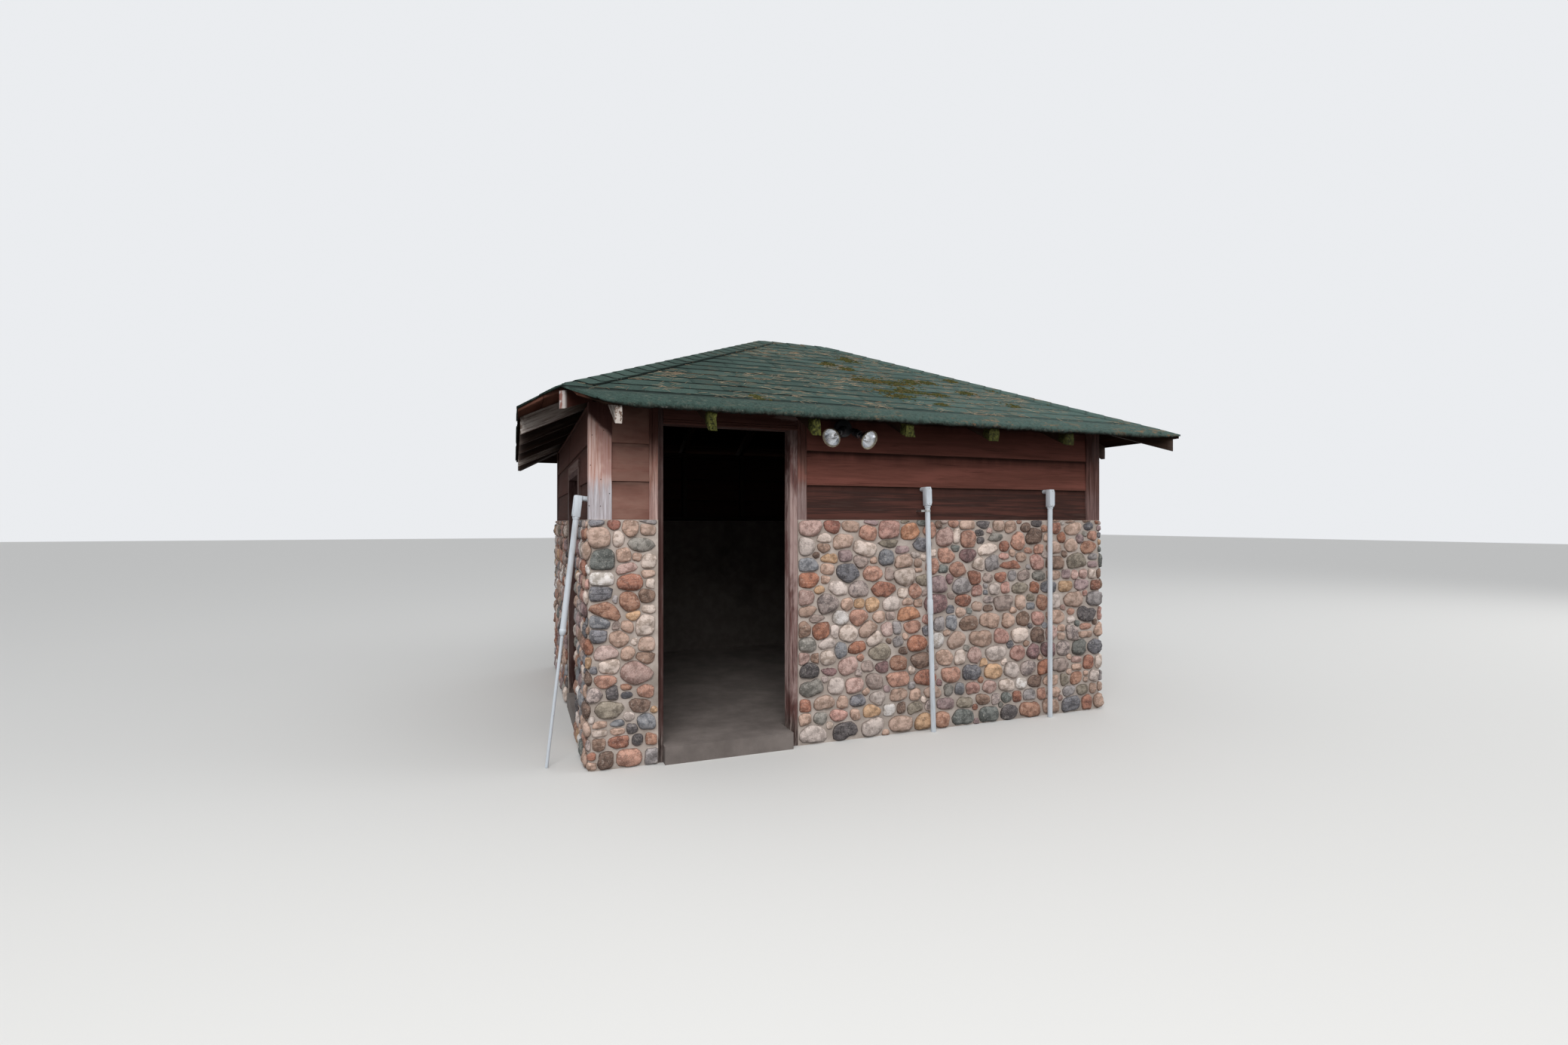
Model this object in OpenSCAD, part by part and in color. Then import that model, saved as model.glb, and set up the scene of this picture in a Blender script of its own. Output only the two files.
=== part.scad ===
// Small boathouse. Cobblestone walls carry a low stud wall with lapped boards, and a hip roof that is cut
// off across its front-left corner. The front faces -Y, X runs to the right along it, and z = 0 is the
// ground. The origin is the centre of the plan. Places along a wall are measured from its left end as
// seen from the front, and from the front on the side walls.

/* [Plan] */
// Width of the building along its front
building_w = 3660; // [3500:10:4300]
// Depth of the building, front to back
building_d = 3050; // [2700:10:3200]

/* [Stone walls and floor] */
// Height of the stonework above the ground
stone_h = 1390; // [1200:10:1550]
// Thickness of the stonework
stone_t = 200; // [170:5:260]
// How far the stonework stands out past the boards above it
stone_proud = 15; // [5:1:30]
// Height of the floor above the ground
floor_h = 100; // [60:5:160]
// How far the floor's front edge comes out past the front wall
sill_out = 50; // [20:5:120]

/* [Board wall] */
// Height of the stud wall, from the stonework to the top of the top plate
frame_h = 680; // [600:10:800]
// Thickness of studs, plates and rafters
stud_t = 38; // [34:1:50]
// Depth of studs, plates and rafters
stud_d = 89; // [80:1:110]
// Distance from one stud to the next
stud_pitch = 610; // [400:10:700]
// Thickness of the corner boards and door casings
trim_t = 25; // [21:1:34]
// Width of the corner boards on the front and the back
corner_w = 125; // [90:5:160]
// Distance from the corner to the far edge of the corner boards on the side walls
side_corner_w = 75; // [50:5:130]
// Height of siding that shows on each board
course_h = 215; // [150:5:260]
// Thickness of a siding board's lower edge, over the studs
lap_butt = 20; // [16:1:20]
// Thickness of a siding board where the next one covers it
lap_top = 9; // [6:1:12]

/* [Front doorway] */
// Distance from the left corner to the doorway
front_door_at = 414; // [380:5:700]
// Clear width of the doorway
front_door_w = 783; // [700:5:1000]
// Height of the doorway's head above the stonework
front_door_top = 552; // [460:1:600]
// Thickness of the left jamb
left_jamb_t = 31; // [25:1:45]
// Thickness of the right jamb
right_jamb_t = 49; // [30:1:60]
// Depth of the front jambs
front_jamb_d = 94; // [80:1:150]
// How far the front jambs sit back from the casing's face
jamb_back = 5; // [2:1:10]
// Width of the casing board on the left
left_casing_w = 49; // [40:1:80]
// Width of the casing board on the right
right_casing_w = 60; // [45:1:90]

/* [Side door] */
// Distance from the front corner to the side door's opening
side_door_at = 754; // [600:5:1000]
// Clear width of the side door's opening
side_door_w = 716; // [600:5:900]
// Height of the side door's head above the stonework
side_door_top = 297; // [210:1:410]
// Thickness of the side door's frame
side_jamb_t = 38; // [30:1:50]
// Depth of the side door's frame
side_jamb_d = 125; // [119:1:124]
// How far the door sits back from the wall's face
side_recess = 90; // [70:1:90]
// Thickness of the door's planks
plank_t = 25; // [20:1:27]
// Number of planks across the door
plank_count = 5; // [4:1:7]
// Thickness of the ledges that hold the planks together
ledge_t = 22; // [18:1:26]
// Width of each ledge
ledge_w = 120; // [90:5:150]
// Height of the ledges above the door's foot and below its head
ledge_end = 130; // [90:5:220]
// Running gap around the door
door_gap = 5; // [5:1:8]
// Gap under the door
door_foot_gap = 10; // [6:1:20]
// Width of the casing around the side door
side_casing_w = 60; // [45:1:80]
// Width of the strips that the door closes against
stop_w = 14; // [12:1:20]
// Thickness of those strips
stop_t = 15; // [10:1:20]

/* [Strap hinges] */
// Diameter of the hinge pins
pin_d = 8; // [6:1:10]
// Gap around a hinge pin inside its eye
pin_play = 0.1; // [0.08:0.01:0.1]
// Outer diameter of a strap's eye
eye_d = 14; // [13:1:15]
// Height of a strap and of its eye
strap_h = 40; // [30:1:50]
// Thickness of a strap
strap_t = 5; // [3:1:6]
// Length of a strap on the door
strap_len = 380; // [250:10:500]
// How far the hinge pins stand past the frame's edge
pin_out = 14; // [12:1:18]

/* [Roof] */
// Slope of the roof in degrees
roof_pitch = 25.2; // [20:0.2:30]
// How far the roof reaches out past the walls
overhang = 372; // [300:2:450]
// How far the rafter tails stop short of the roof's edge
tail_back = 22; // [15:1:40]
// Length of the level cut where a rafter sits on its plate
seat_len = 33; // [20:1:45]
// Where the front rafters stand, but for the short one at the corner
front_rafter_at = 610; // [550:10:700]
// Where the short front rafter beside the cut corner stands
corner_rafter_at = 115; // [105:5:150]
// Where the first rafter of a side slope stands
side_rafter_at = 305; // [280:5:340]
// Distance from one rafter to the next
rafter_pitch = 610; // [560:5:640]
// How far the left front hip rafter reaches out past the corner, in both directions
hip_out = 150; // [110:5:220]
// How far the roof boards go past the end of that hip rafter, in both directions
clip_past = 9; // [0:1:30]
// Depth of the ridge board
ridge_depth = 120; // [100:5:160]
// Thickness of the roof boards
deck_t = 19; // [15:1:25]
// Thickness of the shingle layer
shingle_t = 9; // [6:1:14]
// How far the shingles reach past the roof boards
shingle_past = 8; // [4:1:20]
// Width of the caps on each side of a hip or the ridge
cap_w = 125; // [100:5:160]
// Thickness of the caps
cap_t = 5; // [3:1:8]

/* [Outdoor light] */
// Distance from the left corner to the middle of the round box
lamp_box_at = 1548; // [1450:5:2600]
// Height of the middle of the round box above the stonework
lamp_box_z = 575; // [510:1:580]
// Diameter of the round box
lamp_box_d = 112; // [95:1:120]
// Depth of the round box
lamp_box_t = 48; // [35:1:60]
// Diameter of the arms from the box to the lampholders
arm_d = 26; // [18:1:34]
// Diameter of a lampholder
holder_d = 50; // [44:1:56]
// Length of a lampholder
holder_len = 75; // [60:1:90]
// Diameter of a lamp's face
lamp_d = 121; // [95:1:125]
// Length of a lamp
lamp_len = 105; // [90:1:130]
// How far both lamps look down, in degrees
lamp_down = 25; // [0:1:60]
// Direction of the left lamp seen from above, in degrees from the X axis
left_lamp_turn = -149; // [-170:1:-120]
// Direction of the right lamp seen from above, in degrees from the X axis
right_lamp_turn = -74; // [-95:1:-30]

/* [Conduits] */
// Outer diameter of the conduits
conduit_d = 33.4; // [26:0.1:42]
// Distance from the wall's face to the middle of a conduit
conduit_off = 54; // [48:1:65]
// Place of the middle conduit along the front
middle_conduit_at = 2140; // [2000:10:2600]
// Place of the right conduit along the front
right_conduit_at = 3150; // [2800:10:3300]
// Place of the left conduit along the left wall
left_conduit_at = 150; // [150:5:250]
// Height of the front elbow boxes' lower end above the stonework
box_z = 93; // [60:1:210]
// Height of the left elbow box's lower end above the stonework
left_box_z = 15; // [5:1:110]
// Length of an elbow box
box_len = 124; // [100:1:150]
// Width of an elbow box
box_w = 44; // [40:1:56]
// Thickness of an elbow box's cover
cover_t = 4; // [2:1:6]
// Lean of the middle conduit along the wall, in degrees
middle_lean = 1.8; // [0:0.1:3]
// Lean of the left conduit away from the wall, in degrees
left_lean = 6.5; // [2:0.1:7]
// Length of the left conduit under its box, down to where a thinner tube goes on
left_conduit_end = 665; // [405:5:905]
// Outer diameter of that thinner tube
thin_tube_d = 18; // [14:1:22]
// Height of the strap on the middle conduit above the stonework
strap_z = 54; // [25:1:70]

/* [Hidden] */

// Gap between boards that butt against each other
butt_gap = 0.5;
// Room between the rafters and the boards laid on them
lay_gap = 0.2;
// Room left under a turning eye
seat_gap = 0.3;
// How far a cut goes past what it cuts
cut_past = 1;

// Corners of the building, of the stonework and of the room inside
hx = building_w / 2;
hy = building_d / 2;
out_x = hx + stone_proud;
out_y = hy + stone_proud;
in_x = out_x - stone_t;
in_y = out_y - stone_t;

// The layer of studs and plates behind the boards
frame_in = trim_t;
frame_back = trim_t + stud_d;
sill_top = stone_h + stud_t;
plate_top = stone_h + frame_h;
plate_under = plate_top - stud_t;

// Front doorway
door_l = front_door_at - hx;
door_r = door_l + front_door_w;
front_opening_top = stone_h + front_door_top;
jamb_l = door_l - left_jamb_t;
jamb_r = door_r + right_jamb_t;

// Side door
side_y0 = side_door_at - hy;
side_y1 = side_y0 + side_door_w;
side_opening_top = stone_h + side_door_top;
frame_y0 = side_y0 - side_jamb_t;
frame_y1 = side_y1 + side_jamb_t;
side_head = side_opening_top + side_jamb_t;
plank_x = side_recess - hx;
ledge_x = plank_x + plank_t;
strap_x = ledge_x + ledge_t;
leaf_y0 = side_y0 + door_gap;
leaf_y1 = side_y1 - door_gap;
leaf_z0 = floor_h + door_foot_gap;
leaf_z1 = side_opening_top - door_gap;
ledge_inset = 30;
pin_x = strap_x + strap_t / 2;
pin_y = side_y1 + pin_out;
pin_past = 6;
shank = 12;
ledge_levels = [leaf_z0 + ledge_end, leaf_z1 - ledge_end - ledge_w];

// Roof
root2 = sqrt(2);
rise = tan(roof_pitch);
eave_x = hx + overhang;
eave_y = hy + overhang;
ridge_half = (building_w - building_d) / 2;
seat_at = overhang + frame_in + seat_len;
rafter_v = stud_d / cos(roof_pitch);
hip_v = stud_d / cos(atan(rise / root2));
hip_drop = stud_t / 2 * rise / root2;
deck_v = deck_t / cos(roof_pitch);
shingle_v = shingle_t / cos(roof_pitch);
cap_v = cap_t / cos(roof_pitch);
clip_out = hip_out + clip_past;
roof_top = 2 * plate_top;

// Height of the rafters' underside, and of their top, at a distance d in from the roof's edge
function rafter_under(d) = plate_top + (d - seat_at) * rise;
function rafter_over(d) = rafter_under(d) + rafter_v;

siding_top = rafter_under(overhang) - butt_gap;
course_count = ceil((siding_top - stone_h) / course_h);

// A block between two corners
module block(low, high) translate(low) cube(high - low);

// A bar of diameter d from one point to another
module bar(from, to, d) {
    span = to - from;
    reach = norm(span);
    translate(from) rotate([0, acos(span.z / reach), atan2(span.y, span.x)])
        cylinder(h = reach, d = d, $fn = 32);
}

// Stands a wall's pieces on the front, right, back or left, with local y = 0 on the wall's face
module on_wall(turn) {
    face = abs(turn) == 90 ? hx : hy;
    rotate(turn) translate([0, -face, 0]) children();
}

// Lays a roof slope's pieces with local y = 0 on the roof's edge and local y growing up the slope
module on_slope(turn) {
    edge = abs(turn) == 90 ? eave_x : eave_y;
    rotate(turn) translate([0, -edge, 0]) children();
}

// Floor and stonework

module floor_slab() color("gray") {
    block([-in_x, -in_y, 0], [in_x, in_y, floor_h]);
    block([door_l, -hy - sill_out, 0], [door_r, -in_y, floor_h]);
    block([-out_x, side_y0, 0], [-in_x, side_y1, floor_h]);
}

module front_wall_left() color("tan")
    block([-out_x, -out_y, 0], [jamb_l, -in_y, stone_h]);

module front_wall_right() color("tan")
    block([jamb_r, -out_y, 0], [out_x, -in_y, stone_h]);

module left_wall_front() color("tan")
    block([-out_x, -in_y, 0], [-in_x, frame_y0, stone_h]);

module left_wall_back() color("tan")
    block([-out_x, frame_y1, 0], [-in_x, in_y, stone_h]);

module back_wall() color("tan")
    block([-out_x, in_y, 0], [out_x, out_y, stone_h]);

module right_wall() color("tan")
    block([in_x, -in_y, 0], [out_x, in_y, stone_h]);

// Stud wall

// One board of the frame along a wall, from a to b in the wall's own x
module frame_board(turn, a, b, z) on_wall(turn)
    block([a, frame_in, z], [b, frame_back, z + stud_t]);

module sill_plates() color("saddlebrown") {
    long = hx - frame_in;
    short = hy - frame_back - butt_gap;
    frame_board(0, -long, jamb_l, stone_h);
    frame_board(0, jamb_r, long, stone_h);
    frame_board(180, -long, long, stone_h);
    frame_board(90, -short, short, stone_h);
    frame_board(-90, -frame_y0, short, stone_h);
    frame_board(-90, -short, -frame_y1, stone_h);
}

module top_plates() color("saddlebrown") {
    long = hx - frame_in;
    short = hy - frame_back - butt_gap;
    for (turn = [0, 180]) frame_board(turn, -long, long, plate_under);
    for (turn = [90, -90]) frame_board(turn, -short, short, plate_under);
}

// One stud whose near edge is at x, from z to the top plate
module stud(turn, x, z) on_wall(turn)
    block([x, frame_in, z], [x + stud_t, frame_back, plate_under]);

// Places of the studs between the ends of a wall, clear of a doorway from a to b
function stud_places(length, a, b) = [for (s = [stud_pitch : stud_pitch : length - stud_pitch / 2])
    if (s + stud_t < a - butt_gap || s - stud_t > b + butt_gap) s - stud_t / 2];

module wall_studs() color("sienna") {
    front_end = hx - frame_in;
    side_end = hy - frame_back - butt_gap;
    for (turn = [0, 180], x = [-front_end, front_end - stud_t]) stud(turn, x, sill_top);
    for (turn = [90, -90], x = [-side_end, side_end - stud_t]) stud(turn, x, sill_top);
    for (x = [jamb_l - stud_t, jamb_r]) stud(0, x, sill_top);
    for (x = [-frame_y0, -frame_y1 - stud_t]) stud(-90, x, sill_top);
    stud(-90, -(side_y0 + side_y1 + stud_t) / 2, side_head);
    for (s = stud_places(building_w, jamb_l + hx - stud_t, jamb_r + hx + stud_t)) stud(0, s - hx, sill_top);
    for (s = stud_places(building_w, 0, 0)) stud(180, s - hx, sill_top);
    for (s = stud_places(building_d, 0, 0)) stud(90, s - hy, sill_top);
    for (s = stud_places(building_d, frame_y0 + hy - stud_t, frame_y1 + hy + stud_t))
        stud(-90, hy - s - stud_t, sill_top);
}

// Siding. Each board leans out at its foot over the board below it

module siding(turn, a, b, from = stone_h) {
    outline = [[trim_t, 0], for (k = [0 : course_count - 1])
        each [[trim_t - lap_butt, k * course_h], [trim_t - lap_top, (k + 1) * course_h]],
        [trim_t, course_count * course_h]];
    on_wall(turn) intersection() {
        translate([a, 0, stone_h]) rotate([90, 0, 90]) linear_extrude(b - a) polygon(outline);
        block([a, 0, from], [b, trim_t, siding_top]);
    }
}

casing_l = jamb_l - left_casing_w;
casing_r = jamb_r + right_casing_w;
side_casing_y0 = frame_y0 - side_casing_w;
side_casing_y1 = frame_y1 + side_casing_w;
side_casing_top = side_head + side_casing_w;

module siding_front_left() color("firebrick") siding(0, corner_w - hx, casing_l);

module siding_front_right() color("firebrick") siding(0, casing_r, hx - corner_w);

module siding_left_front() color("firebrick") siding(-90, -side_casing_y0, hy - side_corner_w);

module siding_left_back() color("firebrick") siding(-90, side_corner_w - hy, -side_casing_y1);

module siding_over_side_door() color("firebrick")
    siding(-90, -side_casing_y1, -side_casing_y0, side_casing_top);

module siding_back() color("firebrick") siding(180, corner_w - hx, hx - corner_w);

module siding_right() color("firebrick") siding(90, side_corner_w - hy, hy - side_corner_w);

module corner_boards() color("rosybrown") {
    side_x = hy - trim_t - butt_gap;
    for (turn = [0, 180], side = [0, 1]) on_wall(turn) mirror([side, 0, 0])
        block([-hx, 0, stone_h], [corner_w - hx, trim_t, siding_top]);
    for (turn = [90, -90], side = [0, 1]) on_wall(turn) mirror([side, 0, 0])
        block([-side_x, 0, stone_h], [side_corner_w - hy, trim_t, siding_top]);
}

// Front doorway

// The left jamb runs up to the top plate, and the header stands on the right one
module front_door_jambs() color("maroon") {
    y0 = jamb_back - hy;
    block([jamb_l, y0, 0], [door_l, y0 + front_jamb_d, plate_under]);
    block([door_r, y0, 0], [jamb_r, y0 + front_jamb_d, front_opening_top]);
}

module front_door_header() color("maroon")
    block([door_l, frame_in - hy, front_opening_top], [jamb_r, frame_back - hy, plate_under]);

module front_door_casing() color("rosybrown") {
    block([casing_l, -hy, stone_h], [jamb_l, trim_t - hy, siding_top]);
    block([jamb_r, -hy, stone_h], [casing_r, trim_t - hy, siding_top]);
    block([door_l + butt_gap, -hy, front_opening_top], [jamb_r - butt_gap, trim_t - hy, siding_top]);
}

// Side door

module side_door_frame() color("maroon") {
    jamb_top = side_opening_top - butt_gap;
    block([-hx, frame_y0, 0], [side_jamb_d - hx, side_y0, jamb_top]);
    block([-hx, side_y1, 0], [side_jamb_d - hx, frame_y1, jamb_top]);
    block([-hx, frame_y0, side_opening_top], [side_jamb_d - hx, frame_y1, side_head]);
}

module side_door_stops() color("maroon") {
    x0 = plank_x - door_gap - stop_t;
    x1 = plank_x - door_gap;
    under = side_opening_top - stop_w - butt_gap;
    block([x0, side_y0, floor_h], [x1, side_y0 + stop_w, under]);
    block([x0, side_y1 - stop_w, floor_h], [x1, side_y1, under]);
    block([x0, side_y0, side_opening_top - stop_w], [x1, side_y1, side_opening_top]);
}

module side_door_casing() color("rosybrown") {
    board_top = side_head - butt_gap;
    block([-hx, side_casing_y0, stone_h], [trim_t - hx, frame_y0, board_top]);
    block([-hx, frame_y1, stone_h], [trim_t - hx, side_casing_y1, board_top]);
    block([-hx, side_casing_y0, side_head], [trim_t - hx, side_casing_y1, side_casing_top]);
}

module side_door_planks() color("brown") {
    plank_w = (leaf_y1 - leaf_y0 + butt_gap) / plank_count;
    for (k = [0 : plank_count - 1]) {
        y0 = leaf_y0 + k * plank_w;
        block([plank_x, y0, leaf_z0], [ledge_x, y0 + plank_w - butt_gap, leaf_z1]);
    }
}

module side_door_ledges() color("brown")
    for (z = ledge_levels)
        block([ledge_x, leaf_y0 + ledge_inset, z], [strap_x, leaf_y1 - ledge_inset, z + ledge_w]);

module side_door_straps() color("dimgray")
    for (z = ledge_levels) translate([0, 0, z + (ledge_w - strap_h) / 2]) difference() {
        union() {
            block([strap_x, leaf_y1 - strap_len, 0], [strap_x + strap_t, pin_y, strap_h]);
            translate([pin_x, pin_y, 0]) cylinder(h = strap_h, d = eye_d, $fn = 48);
        }
        translate([pin_x, pin_y, -cut_past])
            cylinder(h = strap_h + 2 * cut_past, d = pin_d + 2 * pin_play, $fn = 48);
    }

module side_door_pintles() color("dimgray")
    for (z = ledge_levels) translate([0, pin_y, z + (ledge_w - strap_h) / 2 - seat_gap]) {
        block([side_jamb_d - hx, -shank / 2, -shank], [pin_x + shank / 2, shank / 2, 0]);
        translate([pin_x, 0, 0]) cylinder(h = strap_h + seat_gap + pin_past, d = pin_d, $fn = 48);
    }

// Roof

// Plan of a slope, kept a distance off its hips and ridge; the side slopes come to a point
module front_plan(gap) {
    top = eave_y - gap;
    foot = eave_x - gap * root2;
    polygon([[-foot, 0], [foot, 0], [foot - top, top], [top - foot, top]]);
}

module side_plan(gap) {
    foot = eave_y - gap * root2;
    polygon([[-foot, 0], [foot, 0], [0, foot]]);
}

module slope_plan(turn, gap) {
    if (abs(turn) == 90) side_plan(gap);
    else front_plan(gap);
}

// Everything past the line that cuts off the front-left corner, a distance out from the walls
module cut_corner(reach) translate([-hx - reach, -hy - reach, 0]) rotate(45)
    translate([-2 * overhang, -2 * overhang, 0]) cube([2 * overhang, 4 * overhang, roof_top]);

// A sloping layer: it starts at d0 in from the edge, a height lift above the rafters
module layer(turn, d0, lift, depth, gap) on_slope(turn) intersection() {
    outline = [[d0, rafter_over(d0) + lift], [eave_y, rafter_over(eave_y) + lift],
        [eave_y, rafter_over(eave_y) + lift + depth], [d0, rafter_over(d0) + lift + depth]];
    translate([-eave_x, 0, 0]) rotate([90, 0, 90]) linear_extrude(2 * eave_x) polygon(outline);
    linear_extrude(roof_top) slope_plan(turn, gap);
}

// One rafter of a slope in its own x, notched over the plate and cut off against the hips and the ridge
module rafter(turn, x) on_slope(turn) intersection() {
    plate_edge = overhang + frame_in;
    outline = [[tail_back, rafter_under(tail_back)], [plate_edge, rafter_under(plate_edge)],
        [plate_edge, plate_top], [seat_at, plate_top], [eave_y, rafter_under(eave_y)],
        [eave_y, rafter_over(eave_y)], [tail_back, rafter_over(tail_back)]];
    translate([x - stud_t / 2, 0, 0]) rotate([90, 0, 90]) linear_extrude(stud_t) polygon(outline);
    linear_extrude(roof_top) slope_plan(turn, stud_t / 2);
}

front_places = [for (s = [front_rafter_at : rafter_pitch : building_w - stud_d]) s - hx];
side_places = [for (s = [side_rafter_at : rafter_pitch : building_d - stud_d]) s - hy];

module front_rafters() color("saddlebrown") {
    rafter(0, corner_rafter_at - hx);
    for (x = front_places) rafter(0, x);
}

module back_rafters() color("saddlebrown")
    for (x = front_places) rafter(180, -x);

module left_rafters() color("saddlebrown")
    for (x = side_places) rafter(-90, -x);

module right_rafters() color("saddlebrown")
    for (x = side_places) rafter(90, x);

// The front-left hip rafter, from a distance d0 in from both edges up to the ridge, clear of the plates
module hip_rafter(d0) difference() {
    start = d0 * root2;
    end = (eave_y + stud_t) * root2;
    top_z = rafter_over(0) - hip_drop;
    slant = rise / root2;
    intersection() {
        translate([-eave_x, -eave_y, 0]) rotate(45) translate([0, stud_t / 2, 0]) rotate([90, 0, 0])
            linear_extrude(stud_t) polygon([[start, top_z + start * slant - hip_v],
                [end, top_z + end * slant - hip_v], [end, top_z + end * slant],
                [start, top_z + start * slant]]);
        block([-eave_x, -eave_y, 0], [0, -butt_gap / 2, roof_top]);
    }
    block([frame_in - hx, frame_in - hy, 0], [0, 0, plate_top]);
}

module hip_rafters() color("rosybrown") {
    square_end = tail_back + stud_t / 2 / root2;
    hip_rafter(overhang - hip_out);
    mirror([1, 0, 0]) hip_rafter(square_end);
    mirror([0, 1, 0]) hip_rafter(square_end);
    mirror([1, 0, 0]) mirror([0, 1, 0]) hip_rafter(square_end);
}

module ridge_board() color("saddlebrown") {
    half_len = ridge_half - stud_t / 2 * root2;
    top = rafter_over(eave_y - stud_t / 2);
    block([-half_len, -stud_t / 2, top - ridge_depth], [half_len, stud_t / 2, top]);
}

module roof_boards() color("peru") difference() {
    for (turn = [0, 90, 180, -90]) layer(turn, shingle_past, lay_gap, deck_v, butt_gap / 2);
    cut_corner(clip_out);
}

module shingles(turn) layer(turn, 0, lay_gap + deck_v, shingle_v, 0);

module shingles_front() color("darkgreen") difference() {
    shingles(0);
    cut_corner(clip_out + shingle_past);
}

module shingles_back() color("darkgreen") shingles(180);

module shingles_left() color("darkgreen") difference() {
    shingles(-90);
    cut_corner(clip_out + shingle_past);
}

module shingles_right() color("darkgreen") shingles(90);

module hip_caps() color("darkslategray") difference() {
    for (turn = [0, 90, 180, -90]) intersection() {
        layer(turn, 0, lay_gap + deck_v + shingle_v, cap_v, 0);
        on_slope(turn) linear_extrude(roof_top) difference() {
            slope_plan(turn, 0);
            slope_plan(turn, cap_w);
        }
    }
    cut_corner(clip_out + shingle_past);
}

// Outdoor light

lamp_face = trim_t - lap_top - hy;
lamp_z = stone_h + lamp_box_z;
left_arm_out = 8;
right_arm_past = 4;
box_mid = [lamp_box_at - hx, lamp_face - lamp_box_t / 2, lamp_z - lamp_box_d / 8];
left_knuckle = box_mid + [-left_arm_out, -lamp_box_t, left_arm_out];
right_knuckle = box_mid + [lamp_box_d / 2 + right_arm_past, -lamp_box_t / 3, 0];

// Unit vector of a lamp that looks down and is turned
function aim(turn) = [cos(lamp_down) * cos(turn), cos(lamp_down) * sin(turn), -sin(lamp_down)];

lamp_places = [[left_knuckle, left_lamp_turn], [right_knuckle, right_lamp_turn]];

module lamp_holder() color("black") {
    difference() {
        translate([lamp_box_at - hx, lamp_face, lamp_z]) rotate([90, 0, 0])
            cylinder(h = lamp_box_t, d = lamp_box_d, $fn = 64);
        siding(0, casing_r, hx - corner_w);
    }
    for (place = lamp_places) {
        bar(box_mid, place[0], arm_d);
        bar(place[0], place[0] + aim(place[1]) * holder_len, holder_d);
    }
}

module flood_lamps() color("silver")
    for (place = lamp_places) translate(place[0] + aim(place[1]) * holder_len)
        rotate([0, 90 + lamp_down, place[1]]) rotate_extrude($fn = 64)
            polygon([[0, 0], [holder_d * 0.42, 0], [holder_d * 0.42, lamp_len * 0.16],
                [lamp_d * 0.36, lamp_len * 0.52], [lamp_d * 0.48, lamp_len * 0.82],
                [lamp_d * 0.5, lamp_len * 0.86], [lamp_d * 0.5, lamp_len * 0.93],
                [lamp_d * 0.34, lamp_len * 0.98], [0, lamp_len]]);

// Conduits. Each stands in its own frame: z = 0 at the elbow box's foot, local -y away from the wall

hub_len = 12;
hub_wall = 3.5;
stub_d = 30;
front_box_foot = stone_h + box_z;
left_box_foot = stone_h + left_box_z;

module on_front(at, lean) translate([at - hx, -hy - conduit_off, front_box_foot])
    rotate([0, -lean, 0]) children();

module on_left(lean) translate([-hx - conduit_off, left_conduit_at - hy, left_box_foot])
    rotate([0, lean, 0]) rotate(-90) children();

// A tube that ends level at the ground, or at a height z under the box's foot
module tube(d, z0, z1) translate([0, 0, -z0]) cylinder(h = z0 - z1, d = d, $fn = 32);

module conduit_pipes() color("gainsboro") {
    intersection() {
        union() {
            on_front(middle_conduit_at, middle_lean) tube(conduit_d, 1.1 * front_box_foot, hub_len);
            on_front(right_conduit_at, 0) tube(conduit_d, 1.1 * front_box_foot, hub_len);
            on_left(left_lean) {
                tube(conduit_d, left_conduit_end, hub_len);
                tube(thin_tube_d, 1.1 * left_box_foot, hub_len);
            }
        }
        block([-eave_x, -eave_y, 0], [eave_x, eave_y, roof_top]);
    }
}

// The box, its socket for the conduit and its back outlet into the wall
module elbow_box(reach) {
    translate([-box_w / 2, -box_w / 2, 0]) cube([box_w, box_w, box_len]);
    translate([0, 0, -hub_len]) cylinder(h = hub_len, d = conduit_d + 2 * hub_wall, $fn = 32);
    translate([0, box_w / 2, box_len - stub_d]) rotate([-90, 0, 0])
        cylinder(h = reach - box_w / 2, d = stub_d, $fn = 32);
}

module conduit_boxes() color("gainsboro") {
    difference() {
        union() {
            on_front(middle_conduit_at, middle_lean) elbow_box(conduit_off + trim_t);
            on_front(right_conduit_at, 0) elbow_box(conduit_off + trim_t);
        }
        siding(0, casing_r, hx - corner_w);
        block([-hx, frame_in - hy, 0], [hx, 0, roof_top]);
    }
    difference() {
        on_left(left_lean) elbow_box(conduit_off + trim_t);
        siding(-90, -side_casing_y0, hy - side_corner_w);
        block([frame_in - hx, -hy, 0], [0, 0, roof_top]);
    }
}

module elbow_cover() translate([-box_w / 2, -box_w / 2 - cover_t, 0]) cube([box_w, cover_t, box_len]);

module conduit_covers() color("whitesmoke") {
    on_front(middle_conduit_at, middle_lean) elbow_cover();
    on_front(right_conduit_at, 0) elbow_cover();
    on_left(left_lean) elbow_cover();
}

strap_ring = 3;
strap_w = 14;

// A band around the middle conduit, with a foot that reaches the boards
module conduit_strap() color("lightgray") difference() {
    on_front(middle_conduit_at, middle_lean) translate([0, 0, strap_z - box_z]) {
        cylinder(h = strap_w, d = conduit_d + 2 * strap_ring, $fn = 32);
        translate([-conduit_d - strap_w, 0, 0]) cube([conduit_d + strap_w, strap_ring, strap_w]);
        translate([-conduit_d - strap_w, 0, 0]) cube([strap_ring, conduit_off + trim_t, strap_w]);
    }
    on_front(middle_conduit_at, middle_lean) tube(conduit_d, front_box_foot, 0);
    siding(0, casing_r, hx - corner_w);
    block([-hx, frame_in - hy, 0], [hx, 0, roof_top]);
}

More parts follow.
